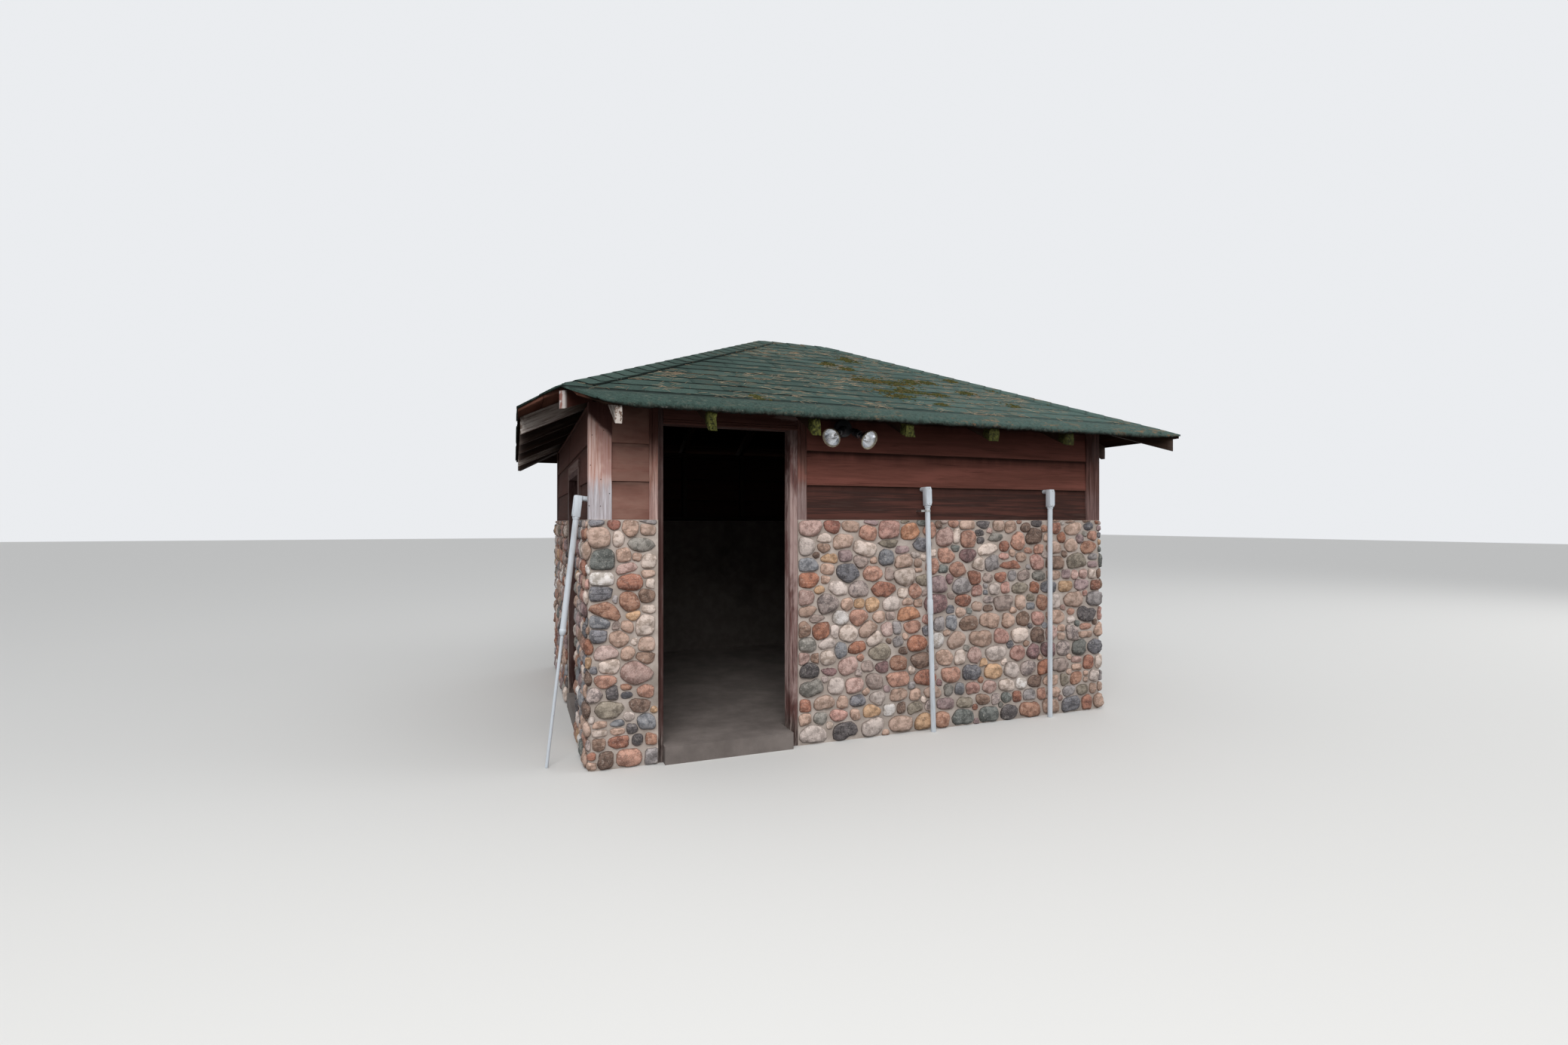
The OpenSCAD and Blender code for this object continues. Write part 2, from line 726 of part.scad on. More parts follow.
floor_slab();
front_wall_left();
front_wall_right();
left_wall_front();
left_wall_back();
back_wall();
right_wall();
sill_plates();
wall_studs();
top_plates();
front_door_jambs();
front_door_header();
front_door_casing();
siding_front_left();
siding_front_right();
siding_left_front();
siding_left_back();
siding_over_side_door();
siding_back();
siding_right();
corner_boards();
side_door_frame();
side_door_stops();
side_door_casing();
side_door_planks();
side_door_ledges();
side_door_straps();
side_door_pintles();
front_rafters();
back_rafters();
left_rafters();
right_rafters();
hip_rafters();
ridge_board();
roof_boards();
shingles_front();
shingles_back();
shingles_left();
shingles_right();
hip_caps();
lamp_holder();
flood_lamps();
conduit_pipes();
conduit_boxes();
conduit_covers();
conduit_strap();
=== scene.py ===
import functools
import math

import bmesh
import bpy
import numpy as np
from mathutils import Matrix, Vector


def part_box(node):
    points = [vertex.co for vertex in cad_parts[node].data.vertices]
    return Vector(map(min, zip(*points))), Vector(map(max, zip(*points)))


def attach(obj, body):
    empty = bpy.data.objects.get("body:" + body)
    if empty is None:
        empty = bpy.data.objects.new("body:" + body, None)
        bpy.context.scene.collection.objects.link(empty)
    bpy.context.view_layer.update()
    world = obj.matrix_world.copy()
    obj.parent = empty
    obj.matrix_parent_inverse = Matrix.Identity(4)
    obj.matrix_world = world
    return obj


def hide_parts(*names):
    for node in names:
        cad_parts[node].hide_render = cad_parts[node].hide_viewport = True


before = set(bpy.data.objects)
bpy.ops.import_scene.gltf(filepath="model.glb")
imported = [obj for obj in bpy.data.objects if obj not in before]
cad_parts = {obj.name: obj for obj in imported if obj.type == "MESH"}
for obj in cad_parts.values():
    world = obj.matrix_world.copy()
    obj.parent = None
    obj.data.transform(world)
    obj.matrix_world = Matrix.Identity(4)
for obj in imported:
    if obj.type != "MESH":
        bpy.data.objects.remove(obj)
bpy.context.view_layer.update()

# The building in metres: its front faces -Y, and the origin is the middle of the plan
HALF_X, HALF_Y = 1.83, 1.525
STONE_X, STONE_Y, STONE_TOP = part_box("back_wall")[1]
STONE_THICK = 0.2
EAVE_X, EAVE_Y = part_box("shingles_right")[1].x, -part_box("shingles_front")[0].y

# Roof: its slope, the plates that carry it, and its layers, as heights at the roof's edge
PITCH = math.radians(25.2)
RISE, COS_PITCH = math.tan(PITCH), math.cos(PITCH)
PLATE_TOP, PLATE_IN = 2.070, 0.430
LAY_GAP = 0.0002
RAFTER_WIDE, RAFTER_HIGH = 0.038, 0.089
RAFTER_FOOT = PLATE_TOP - PLATE_IN * RISE
RAFTER_DEEP = RAFTER_HIGH / COS_PITCH
DECK_FOOT = RAFTER_FOOT + RAFTER_DEEP + LAY_GAP
DECK_THICK = 0.019 / COS_PITCH
SHINGLE_FOOT = DECK_FOOT + DECK_THICK
SHINGLE_THICK = 0.009 / COS_PITCH
SHINGLE_PAST = 0.008

# Rafter tails stand back from the edge, and the front-left corner is cut off
TAIL_BACK, CUT_HIP_BACK = 0.022, 0.222
CORNER_CUT = 0.159
CUT_DECK = HALF_X + HALF_Y + 2 * CORNER_CUT
CUT_SHINGLE = HALF_X + HALF_Y + 2 * (CORNER_CUT + SHINGLE_PAST)


def noise_of(points, size, seed):
    """Smooth noise from -1 to 1: a sum of sines along a few fixed slanting directions, about size long."""
    draw = np.random.default_rng(seed)
    total = np.zeros(points.shape[:-1])
    for octave in range(3):
        for _ in range(4):
            direction = draw.normal(size=3)
            direction /= np.linalg.norm(direction)
            step = 2 * math.pi / (size * draw.uniform(0.7, 1.4) / 2 ** octave)
            total += np.sin(points @ direction * step + draw.uniform(0, 7)) / 2 ** octave
    return total / 4.2


def stack(*parts):
    """Numbers and arrays, spread to one shape and joined along a new last axis."""
    return np.stack(np.broadcast_arrays(*parts), -1)


def circle(count):
    """Angles of a full turn in equal steps."""
    return np.linspace(0, 2 * np.pi, count, endpoint=False)


# Meshes

class Solid:
    """Gathers closed bars, each with its own values for the material, and makes one object of them."""

    def __init__(self):
        self.points, self.quads, self.triangles, self.values = [], [], [], {}
        self.count = 0

    def tube(self, rings, pointed=False, **values):
        """Adds bars by their rings, (bars, sections, corners, 3), or without the first axis for one bar.
        Quads join the sections, and a fan closes each end at its ring's middle. Pointed bars give their two
        tips as rings."""
        rings = rings.reshape(-1, *rings.shape[-3:])
        bars, sections, corners, _ = rings.shape
        sections -= 2 * pointed
        index = np.arange(bars * sections * corners).reshape(bars, sections, corners)
        tip = index.size + np.arange(2 * bars).reshape(bars, 2, 1)
        a, b = index[:, :-1], index[:, 1:]
        first, last = index[:, 0], index[:, -1]
        quads = stack(a, np.roll(a, -1, 2), np.roll(b, -1, 2), b).reshape(-1, 4)
        triangles = np.concatenate([stack(np.roll(first, -1, 1), first, tip[:, 0]).reshape(-1, 3),
                                    stack(last, np.roll(last, -1, 1), tip[:, 1]).reshape(-1, 3)])

        def with_tips(value):
            value = np.asarray(value, float)
            wide = value.shape[-1] if value.ndim else 1
            value = np.broadcast_to(value, (*rings.shape[:3], wide))
            tips = value[:, [0, -1]].mean(2)
            if pointed:
                value = value[:, 1:-1]
            return np.concatenate([value.reshape(-1, wide), tips.reshape(-1, wide)])
        points = with_tips(rings)
        self.quads.append(self.count + quads)
        self.triangles.append(self.count + triangles)
        self.points.append(points)
        for name, value in values.items():
            self.values.setdefault(name, []).append(with_tips(value))
        self.count += len(points)

    def make(self, name, material, slot, *replaces, body="building", smooth=None, clipped=False):
        """Makes the object, with its material, body, the CAD nodes it replaces, and its values as attributes;
        its slot is not used. Clipped shapes lose the faces that the clipping pressed flat."""
        mesh = bpy.data.meshes.new(name)
        points = np.concatenate(self.points).astype(np.float32)
        quads, triangles = np.concatenate(self.quads), np.concatenate(self.triangles)
        corners = np.concatenate([quads.ravel(), triangles.ravel()]).astype(np.int32)
        starts = np.concatenate([np.arange(len(quads)) * 4, quads.size + np.arange(len(triangles)) * 3])
        mesh.vertices.add(len(points))
        mesh.vertices.foreach_set("co", points.ravel())
        mesh.loops.add(len(corners))
        mesh.loops.foreach_set("vertex_index", corners)
        mesh.polygons.add(len(starts))
        mesh.polygons.foreach_set("loop_start", starts.astype(np.int32))
        mesh.update(calc_edges=True)
        mesh.validate()
        for value_name, parts in self.values.items():
            value = np.concatenate(parts).astype(np.float32)
            kind, field = ("FLOAT_VECTOR", "vector") if value.shape[1] == 3 else ("FLOAT", "value")
            mesh.attributes.new(value_name, kind, "POINT").data.foreach_set(field, value.ravel())
        if clipped:
            work = bmesh.new()
            work.from_mesh(mesh)
            bmesh.ops.dissolve_degenerate(work, dist=0.00001, edges=work.edges)
            work.to_mesh(mesh)
            work.free()
        if smooth is not None:
            mesh.polygons.foreach_set("use_smooth", np.ones(len(mesh.polygons), bool))
            mesh.set_sharp_from_angle(angle=math.radians(smooth))
        piece = bpy.data.objects.new(name, mesh)
        bpy.context.scene.collection.objects.link(piece)
        mesh.materials.append(material)
        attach(piece, body)
        if replaces:
            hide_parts(*replaces)


def solids_of(node):
    """Lowest and highest corner of each separate solid of a CAD node, from its triangles' shared corners."""
    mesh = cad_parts[node].data
    co = np.zeros(len(mesh.vertices) * 3)
    mesh.vertices.foreach_get("co", co)
    co = co.reshape(-1, 3)
    same = np.unique(np.round(co, 5), axis=0, return_inverse=True)[1].ravel()
    edges = np.zeros(len(mesh.edges) * 2, int)
    mesh.edges.foreach_get("vertices", edges)
    ends = same[edges].reshape(-1, 2)
    group = np.arange(same.max() + 1)
    changed = True
    while changed:
        before = group.copy()
        low = np.minimum(*group[ends].T)
        np.minimum.at(group, ends[:, 0], low)
        np.minimum.at(group, ends[:, 1], low)
        changed = bool((before != group).any())
    solids = [co[group[same] == number] for number in np.unique(group)]
    return sorted([(co.min(0), co.max(0)) for co in solids], key=lambda box: tuple(np.round(box[0], 4)))


# Stone walls: cobbles laid along one path round the building and bedded in mortar

CORNER_ROUND = 0.040
MORTAR_BACK, BED = 0.011, 0.014
JAMB_LEFT, JAMB_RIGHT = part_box("front_wall_left")[1].x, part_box("front_wall_right")[0].x
SIDE_JAMB_FRONT, SIDE_JAMB_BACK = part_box("left_wall_front")[1].y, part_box("left_wall_back")[0].y

# The path's corners, from the side door's front jamb round by the front, right and back to its back jamb
PATH = np.array([[-STONE_X, SIDE_JAMB_FRONT], [-STONE_X, -STONE_Y], [STONE_X, -STONE_Y],
                 [STONE_X, STONE_Y], [-STONE_X, STONE_Y], [-STONE_X, SIDE_JAMB_BACK]])
PATH_AT = np.concatenate([[0], np.cumsum(np.linalg.norm(np.diff(PATH, axis=0), axis=1))])
FRONT_AT = PATH_AT[1] + STONE_X


def on_sharp_path(s):
    """The point of the cornered line at a length s along it."""
    return stack(*(np.interp(s, PATH_AT, axis) for axis in PATH.T))


def on_path(s):
    """Point and outward normal at s: the cornered line's mean over a short stretch, which rounds corners."""
    shift = np.linspace(-1, 1, 9) * CORNER_ROUND
    near = on_sharp_path(np.clip(np.asarray(s)[..., None] + shift, PATH_AT[0], PATH_AT[-1]))
    along = near[..., -1, :] - near[..., 0, :]
    along /= np.linalg.norm(along, axis=-1, keepdims=True)
    return near.mean(-2), stack(along[..., 1], -along[..., 0])


# Rocks by kind: colour, darker second colour, how speckled and how banded
ROCKS = {
    "slate": ((100, 104, 112), (62, 64, 70), 0.5, 0.8), "red": ((150, 84, 66), (112, 62, 50), 0.5, 0.2),
    "tan": ((188, 152, 130), (150, 118, 98), 0.4, 0.3), "grey": ((148, 144, 144), (110, 106, 106), 0.6, 0.2),
    "sand": ((190, 158, 139), (168, 136, 114), 0.4, 0.3),
    "cream": ((229, 211, 197), (190, 166, 146), 0.3, 0.2),
    "greengrey": ((126, 125, 117), (92, 92, 84), 0.6, 0.3),
    "green": ((94, 104, 100), (66, 74, 70), 0.6, 0.4), "pink": ((190, 154, 143), (162, 122, 110), 0.8, 0.1),
    "white": ((236, 233, 229), (190, 178, 162), 0.3, 0.2), "brown": ((134, 102, 82), (98, 72, 56), 0.5, 0.4),
    "sienna": ((166, 115, 88), (132, 82, 60), 0.5, 0.4),
    "ochre": ((196, 152, 108), (158, 118, 82), 0.4, 0.3),
    "bluegrey": ((118, 124, 130), (84, 90, 98), 0.6, 0.3),
    "taupe": ((158, 138, 128), (122, 106, 98), 0.5, 0.3),
    "rosepale": ((214, 184, 174), (184, 150, 140), 0.7, 0.1),
    "clay": ((186, 130, 106), (144, 98, 80), 0.6, 0.3), "umber": ((104, 78, 62), (74, 54, 44), 0.5, 0.5),
    "mauve": ((152, 126, 126), (118, 96, 98), 0.6, 0.2), "rose": ((184, 132, 118), (148, 100, 88), 0.7, 0.1),
    "olive": ((132, 123, 104), (100, 91, 76), 0.5, 0.4),
    "orange": ((206, 136, 94), (160, 100, 68), 0.5, 0.3),
    "pale": ((214, 200, 190), (180, 164, 154), 0.5, 0.2), "rust": ((160, 92, 62), (116, 64, 44), 0.5, 0.4),
    "granite": ((188, 170, 162), (100, 90, 90), 1.0, 0.1),
    "russet": ((146, 84, 60), (104, 58, 44), 0.6, 0.4), "plum": ((118, 82, 82), (84, 58, 60), 0.5, 0.3),
    "black": ((66, 64, 66), (44, 42, 44), 0.5, 0.6),
}

# Stones that the photograph shows: x, height, width and height of the stone in millimetres, tilt, rock
SEEN_LEFT = """-1795 1372 95 42 0 slate, -1695 1363 68 56 -20 red, -1605 1343 98 88 -20 tan,
-1500 1379 90 24 0 grey,
-1508 1335 84 64 0 sand, -1785 1292 142 128 0 sand, -1670 1285 60 92 0 cream, -1552 1250 155 82 -5 greengrey,
-1763 1170 158 118 0 green, -1640 1192 88 80 0 tan, -1567 1180 54 40 0 tan, -1505 1155 82 78 0 cream,
-1625 1120 138 54 10 pink, -1507 1083 78 44 0 sand, -1767 1060 155 76 0 white, -1600 1037 160 92 -5 russet,
-1495 1030 46 56 0 cream, -1773 980 138 84 0 slate, -1688 946 28 38 0 grey, -1607 930 122 108 -30 sienna,
-1518 962 92 72 0 brown, -1750 885 212 88 -8 sienna, -1505 882 70 44 0 cream, -1587 850 80 52 0 ochre,
-1777 820 136 68 0 bluegrey, -1683 798 38 40 0 taupe, -1622 790 76 62 0 tan, -1525 798 110 122 0 cream,
-1787 745 108 78 0 slate, -1668 725 108 90 0 tan, -1583 702 34 34 0 cream, -1515 685 88 86 0 sand,
-1735 650 145 82 0 rosepale, -1620 640 78 70 0 tan, -1523 610 104 62 0 brown, -1575 530 190 130 0 pink,
-1520 420 82 70 0 clay, -1548 340 105 76 0 umber, -1517 250 95 88 0 bluegrey, -1720 575 120 80 0 cream,
-1740 490 130 70 0 clay"""
SEEN_RIGHT = """-507 1342 180 105 12 pink, -357 1352 118 78 -10 red, -228 1350 130 64 -3 tan,
-82 1378 152 42 -3 mauve, -102 1310 128 96 5 clay, 48 1335 165 125 0 rose, 175 1386 100 28 0 olive,
207 1318 142 100 0 orange, 305 1380 150 48 0 green, 360 1325 95 100 20 clay, -535 1228 122 108 0 pale,
-408 1273 100 60 0 cream, -412 1221 86 58 0 brown, -275 1255 180 82 15 sand, -125 1203 205 100 -8 cream,
55 1238 200 48 3 olive, 303 1228 200 85 0 slate, 147 1195 115 45 0 mauve, -520 1112 155 78 0 bluegrey,
-376 1148 128 52 0 ochre, -262 1163 105 72 0 mauve, -155 1125 120 70 0 taupe, 30 1147 120 98 0 bluegrey,
165 1123 145 88 0 sand, 245 1160 70 35 0 pale, 265 1108 55 58 0 sand, 268 1062 50 26 0 tan,
-388 1083 98 68 0 tan, -517 1020 165 88 0 rust, -243 1057 182 115 0 slate, -72 1048 140 94 0 clay,
50 1043 56 80 0 taupe, 178 1025 150 115 0 cream, -403 1019 58 46 0 tan, -444 955 68 44 0 ochre,
-312 962 135 82 0 pale, -174 950 152 98 0 granite, 8 943 200 96 0 russet, 152 914 78 58 0 cream,
245 925 95 95 0 clay, -538 908 118 84 0 pink, -388 868 160 108 0 granite, -250 857 85 75 0 tan,
-165 858 78 60 0 ochre, -73 847 108 88 0 ochre, 65 848 145 86 0 pale, 190 858 85 44 0 sand,
265 845 62 50 0 tan, 405 840 180 118 0 plum, -520 825 185 60 0 tan, -472 776 215 44 -5 taupe,
-298 774 118 88 0 white, -172 772 138 105 0 clay, -22 768 92 68 0 sand, 62 772 72 48 0 taupe,
200 777 185 88 0 orange, -550 710 105 90 0 brown, -432 699 125 102 0 rust, -337 692 66 82 0 pale,
-247 677 160 105 0 cream, -100 692 158 95 0 sand, 38 682 105 78 0 rosepale, 105 690 70 72 0 grey,
220 690 120 80 0 clay, -530 617 150 92 0 greengrey, -385 622 150 60 0 pale, -55 630 140 88 0 cream,
-180 580 150 68 0 rust, -295 572 95 90 0 bluegrey, -552 535 100 80 0 pink, -475 530 60 55 0 brown,
-388 530 110 80 0 cream, -20 545 185 95 0 olive, 428 1360 50 50 0 umber, 545 1370 82 56 0 clay,
465 1383 60 30 0 taupe, 655 1362 130 74 0 sand, 788 1358 125 48 0 black, 915 1355 105 75 0 sand,
1010 1348 105 76 20 tan, 1150 1338 85 60 0 umber, 1240 1370 90 55 0 black, 475 1280 150 118 0 pink,
565 1280 58 95 0 cream, 662 1265 125 118 0 clay, 758 1303 72 40 0 black, 765 1253 62 44 0 black,
890 1275 178 50 0 greengrey, 555 1202 70 42 0 green, 375 1170 75 45 0 cream, 488 1150 158 90 0 clay,
662 1152 150 84 0 plum, 810 1190 160 75 0 cream, 1078 1240 106 112 0 clay, 1215 1282 150 110 0 umber,
462 1065 88 46 0 green, 570 1055 142 92 0 clay, 750 1090 110 80 0 cream, 712 997 95 92 0 russet,
420 960 142 108 0 mauve, 610 945 165 110 0 grey, 620 850 130 78 0 russet, 385 1085 100 100 0 clay,
960 1140 95 35 0 rose, 1035 1078 205 48 0 russet, 1405 1340 115 85 0 russet, 1570 1330 190 80 0 sand,
1712 1347 85 55 0 slate, 1400 1390 160 30 0 tan, 1550 1388 120 34 0 sand, 1700 1388 80 24 0 brown"""

ROCK_NAMES = list(ROCKS)
LAID_ROCKS = ("tan tan tan sand sand cream cream clay clay pink taupe grey brown sienna russet umber slate "
              "bluegrey greengrey olive mauve rose pale rust granite ochre green plum white black").split()


def seen_stones():
    """The stones read off the photograph: s along the path, height, half width, half height, tilt; rock."""
    rows = [line.split() for line in (SEEN_LEFT + "," + SEEN_RIGHT).split(",")]
    numbers = np.array([[float(v) for v in row[:5]] for row in rows])
    s = FRONT_AT + numbers[:, 0] / 1000
    sizes = numbers[:, 2:4] / 2000 * 1.10 + 0.003
    rock = np.array([ROCK_NAMES.index(row[5]) for row in rows])
    return np.column_stack([s, numbers[:, 1] / 1000, sizes, np.radians(numbers[:, 4])]), rock


def laid_stones(start, end, seen):
    """Rows of cobbles between two places on the path, left out where a seen stone lies."""
    draw = np.random.default_rng(int(start * 100) + 7)
    found, z = [], 0.0
    while z < STONE_TOP - 0.03:
        tall = min(draw.uniform(0.075, 0.125), STONE_TOP - z)
        s = start + draw.uniform(-0.02, 0.0)
        while s < end - 0.02:
            wide = tall * draw.uniform(0.85, 1.9)
            if draw.random() < 0.16 and tall > 0.085:
                found += [[s + wide * 0.3, z + tall * part, wide * 0.27, tall * 0.22, 0.0]
                          for part in (0.27, 0.77)]
                wide *= 0.6
            else:
                middle = z + tall / 2 + draw.uniform(-0.008, 0.008)
                found.append([s + wide / 2, middle, wide / 2 - 0.003, tall / 2 - 0.002, draw.normal(0, 0.14)])
            s += wide
        z += tall
    stones = np.array(found)
    stones = stones[(stones[:, 0] > start + 0.015) & (stones[:, 0] < end - 0.015)]
    reach = seen[None, :, 2:4] + 0.45 * stones[:, None, 2:4]
    apart = np.abs(stones[:, None, :2] - seen[None, :, :2]) / reach
    stones = stones[~((apart ** 2).sum(-1) < 1).any(1)]
    return stones, draw.choice([ROCK_NAMES.index(name) for name in LAID_ROCKS], len(stones))


def fill_stones(stones, start, end):
    """Small stones set where the others leave room: places are tried on a fine grid, the roomiest first."""
    draw = np.random.default_rng(int(start * 100) + 19)
    s, z = np.meshgrid(np.arange(start + 0.02, end - 0.02, 0.012), np.arange(0.02, STONE_TOP - 0.014, 0.012))
    spots = stack(s.ravel(), z.ravel()) + draw.uniform(-0.004, 0.004, (s.size, 2))

    def room(centre, half):
        away = spots - centre
        reach = np.linalg.norm(away / half, axis=-1)
        return np.linalg.norm(away, axis=-1) * (1 - 1 / np.maximum(reach, 1e-3))
    clear = np.minimum(np.minimum(spots[:, 0] - start, end - spots[:, 0]), STONE_TOP - spots[:, 1])
    for stone in stones:
        clear = np.minimum(clear, room(stone[:2], stone[2:4]))
    found = []
    while clear.max() > 0.0205:
        best = int(np.argmax(clear))
        half = min(clear[best] + 0.001, 0.040)
        shape = np.array([half * draw.uniform(1.0, 1.25), half * draw.uniform(0.85, 1.0)])
        found.append([*spots[best], *shape, draw.normal(0, 0.2)])
        clear = np.minimum(clear, room(spots[best], shape))
    return np.array(found)


# Sections of a cobble, from its tip in the mortar by its skirt and rim to its top: how far out and how high
SECTORS, FREE = 20, 9.0
LIFT = np.linspace(0, np.pi / 2, 7)[1:]
OUT = np.concatenate([[0.0, 0.96, 1.0], np.cos(LIFT) ** 0.72])[:, None]
UP = np.concatenate([[-1.0, -1.0, 0.0], np.sin(LIFT) ** 0.85])[:, None]
HIGH = np.concatenate([[0.0, 0.0, 0.0], np.sin(LIFT)])[:, None, None]


def rounded(angle, half_wide, half_high, power):
    """How far a rounded box reaches at an angle; a higher power gives it squarer corners."""
    return ((np.abs(np.cos(angle)) / half_wide) ** power
            + (np.abs(np.sin(angle)) / half_high) ** power) ** (-1 / power)


def stop(room, toward, least):
    """How far an outline may reach where it heads, as a share toward, for a border that is room away."""
    return np.where(toward > 0.05, room / np.maximum(toward, 0.05), FREE).clip(least)


def cobbles(stones, ends):
    """Closed domes. A stone's outline is a rounded box in (s, z) kept off its neighbours, and its height over
    the mortar follows a quarter ellipse from the rim to the middle, with slow dents."""
    count = len(stones)
    draw = np.random.default_rng(11)
    turn = circle(SECTORS) + draw.uniform(-0.1, 0.1, (count, 1))
    power = draw.uniform(2.1, 4.2, (count, 1))
    reach = rounded(turn - stones[:, 4:5], stones[:, 2:3], stones[:, 3:4], power)
    for wave in (2, 3, 4, 5, 7):
        size = draw.normal(0, 0.085 / wave ** 0.6, (count, 1))
        reach *= 1 + size * np.cos(wave * turn + draw.uniform(0, 7, (count, 1)))
    gap = stones[None, :, :2] - stones[:, None, :2]
    far = np.linalg.norm(gap, axis=-1) + np.eye(count) * FREE
    near = np.argsort(far, 1)[:, :12]
    row = np.arange(count)[:, None]
    way = np.arctan2(gap[row, near, 1], gap[row, near, 0])
    distance = far[row, near]
    mine, theirs = (rounded(angle - stones[index, 4], stones[index, 2], stones[index, 3], 2.6)
                    for index, angle in ((row, way), (near, way + np.pi)))
    share = np.clip(distance * mine / (mine + theirs), 0, None) - draw.uniform(0.0005, 0.0032, (count, 1))
    share = np.where(mine + theirs > distance - 0.009, share, FREE)
    stops = [reach[:, None], stop(share[:, :, None], np.cos(turn[:, None, :] - way[:, :, None]), 0.008)]
    for room, toward in ((STONE_TOP - 0.001 - stones[:, 1:2], np.sin(turn)), (stones[:, 1:2], -np.sin(turn))):
        stops.append(stop(room, toward, 0.004)[:, None])
    s = stones[:, :1]
    for low, high in ends:
        for edge, sign in ((low, -1), (high, 1)):
            room = np.where((s > low) & (s < high), sign * (edge - s), FREE)
            stops.append(stop(room, sign * np.cos(turn), 0.006)[:, None])
    reach = (np.concatenate(stops, 1) ** -9.0).sum(1) ** (-1 / 9.0)
    small = np.minimum(stones[:, 2], stones[:, 3]) * 2
    proud = (0.006 + 0.19 * np.minimum(small, reach.mean(1) * 2.1)) * draw.uniform(0.8, 1.15, count)
    out = reach[:, None, :] * OUT
    along, over = out * np.cos(turn[:, None, :]), out * np.sin(turn[:, None, :])
    up = np.where(UP < 0, -BED, proud[:, None, None] * UP)
    within = stack(along, over, up) + np.arange(count)[:, None, None, None] * 0.37
    dents = noise_of(within, 0.055, 3) * (0.05 * small + 0.0012)[:, None, None] * (UP > 0)
    point, normal = on_path(s[:, None] + along)
    plan = point + normal * (up + dents - MORTAR_BACK)[..., None]
    ring = stack(plan[..., 0], plan[..., 1], stones[:, None, 1:2] + over)
    shade = 0.84 + 0.34 * draw.uniform(0, 1, (count, 3))[:, :1]
    return ring, within, shade[:, None, None]


def linear(colour):
    """A colour written from 0 to 255 as seen on a screen, in the renderer's linear scale."""
    part = np.asarray(colour, float) / 255
    return np.where(part <= 0.04045, part / 12.92, ((part + 0.055) / 1.055) ** 2.4)


def lay_cobbles(name, material, rock, ring, within, shade):
    """One object of some of the cobbles, each with the colours and marks of its rock."""
    kinds = [ROCKS[ROCK_NAMES[number]] for number in rock]
    first, second, speckled, banded = (np.array(part).reshape(len(rock), 1, 1, -1) for part in zip(*kinds))
    dull = np.array([176, 162, 158])
    solid = Solid()
    solid.tube(ring, pointed=True, rock=linear(first * 0.78 + dull * 0.40) * shade,
               second=linear(second * 0.70 + dull * 0.22) * shade, speckled=speckled, banded=banded,
               within=within, high=HIGH)
    solid.make(name, material, "cobblestone", smooth=60)


def mortar(name, start, end, material, replaces):
    """A closed wall along the path from start to end: its outer face shallowly uneven, its inner face on the
    room's walls, each inner point being the outer one clipped to the room's rectangle."""
    step = 0.018
    along = np.linspace(start, end, int((end - start) / step))
    s, z = np.meshgrid(along, np.linspace(0, STONE_TOP, int(STONE_TOP / step)), indexing="ij")
    point, normal = on_path(s)
    outer = point + normal * (noise_of(stack(s, z, 0), 0.09, 5) * 0.0022 - MORTAR_BACK)[..., None]
    room = np.array([STONE_X, STONE_Y]) - STONE_THICK
    inner = np.clip(on_sharp_path(along), -room, room)[:, None]
    solid = Solid()
    solid.tube(np.concatenate([stack(outer[..., 0], outer[..., 1], z),
                               stack(inner[..., 0], inner[..., 1], [STONE_TOP, 0])], 1))
    solid.make(name, material, "cobblestone", *replaces, smooth=50, clipped=True)


def stone_walls(stone_material, mortar_material):
    """Both runs of wall: the corner between the doors, and the rest round the building."""
    seen, seen_rock = seen_stones()
    gap_left, gap_right = FRONT_AT + JAMB_LEFT, FRONT_AT + JAMB_RIGHT
    runs = [(PATH_AT[0], gap_left), (gap_right, PATH_AT[-1])]
    sets, rocks = [seen], [seen_rock]
    for start, end in runs:
        laid, rock = laid_stones(start, end, seen)
        small = fill_stones(np.concatenate([seen, laid]), start, end)
        sets += [laid, small]
        rocks += [rock, np.random.default_rng(len(small)).choice(rock, len(small))]
    stones, rock = np.concatenate(sets), np.concatenate(rocks)
    parts = cobbles(stones, [(low + 0.002, high - 0.002) for low, high in runs])
    corners = [gap_right, *(PATH_AT[2:5] - 0.02), PATH_AT[5]]
    walls = [("door_pier", PATH_AT[0], gap_left),
             *zip(("front", "right", "back", "left"), corners, corners[1:])]
    for name, low, high in walls:
        chosen = (stones[:, 0] > low) & (stones[:, 0] < high)
        lay_cobbles("cobbles_" + name, stone_material, rock[chosen], *(part[chosen] for part in parts))
    mortar("mortar_door_pier", *runs[0], mortar_material, ("front_wall_left", "left_wall_front"))
    mortar("mortar_walls", *runs[1], mortar_material,
           ("front_wall_right", "right_wall", "back_wall", "left_wall_back"))


# Boards: bars with rounded edges that carry their own grain coordinates

# Grooves in the front doorway's boards, by the direction a board runs, its side and the share along that side
GROOVES = {"front_door_jambs": {2: {0: (0.4,), 1: (0.18, 0.42, 0.50, 0.74), 3: (0.26, 0.50, 0.58, 0.82)}},
           "front_door_casing": {2: {0: (0.34,)}, 0: {3: (0.74, 0.88)}}}


def spun(turn, x, y, z):
    """Points of one side of the building, x along it and -y away from it, turned to where that side is."""
    angle = math.radians(turn)
    return stack(x * math.cos(angle) - y * math.sin(angle), x * math.sin(angle) + y * math.cos(angle), z)


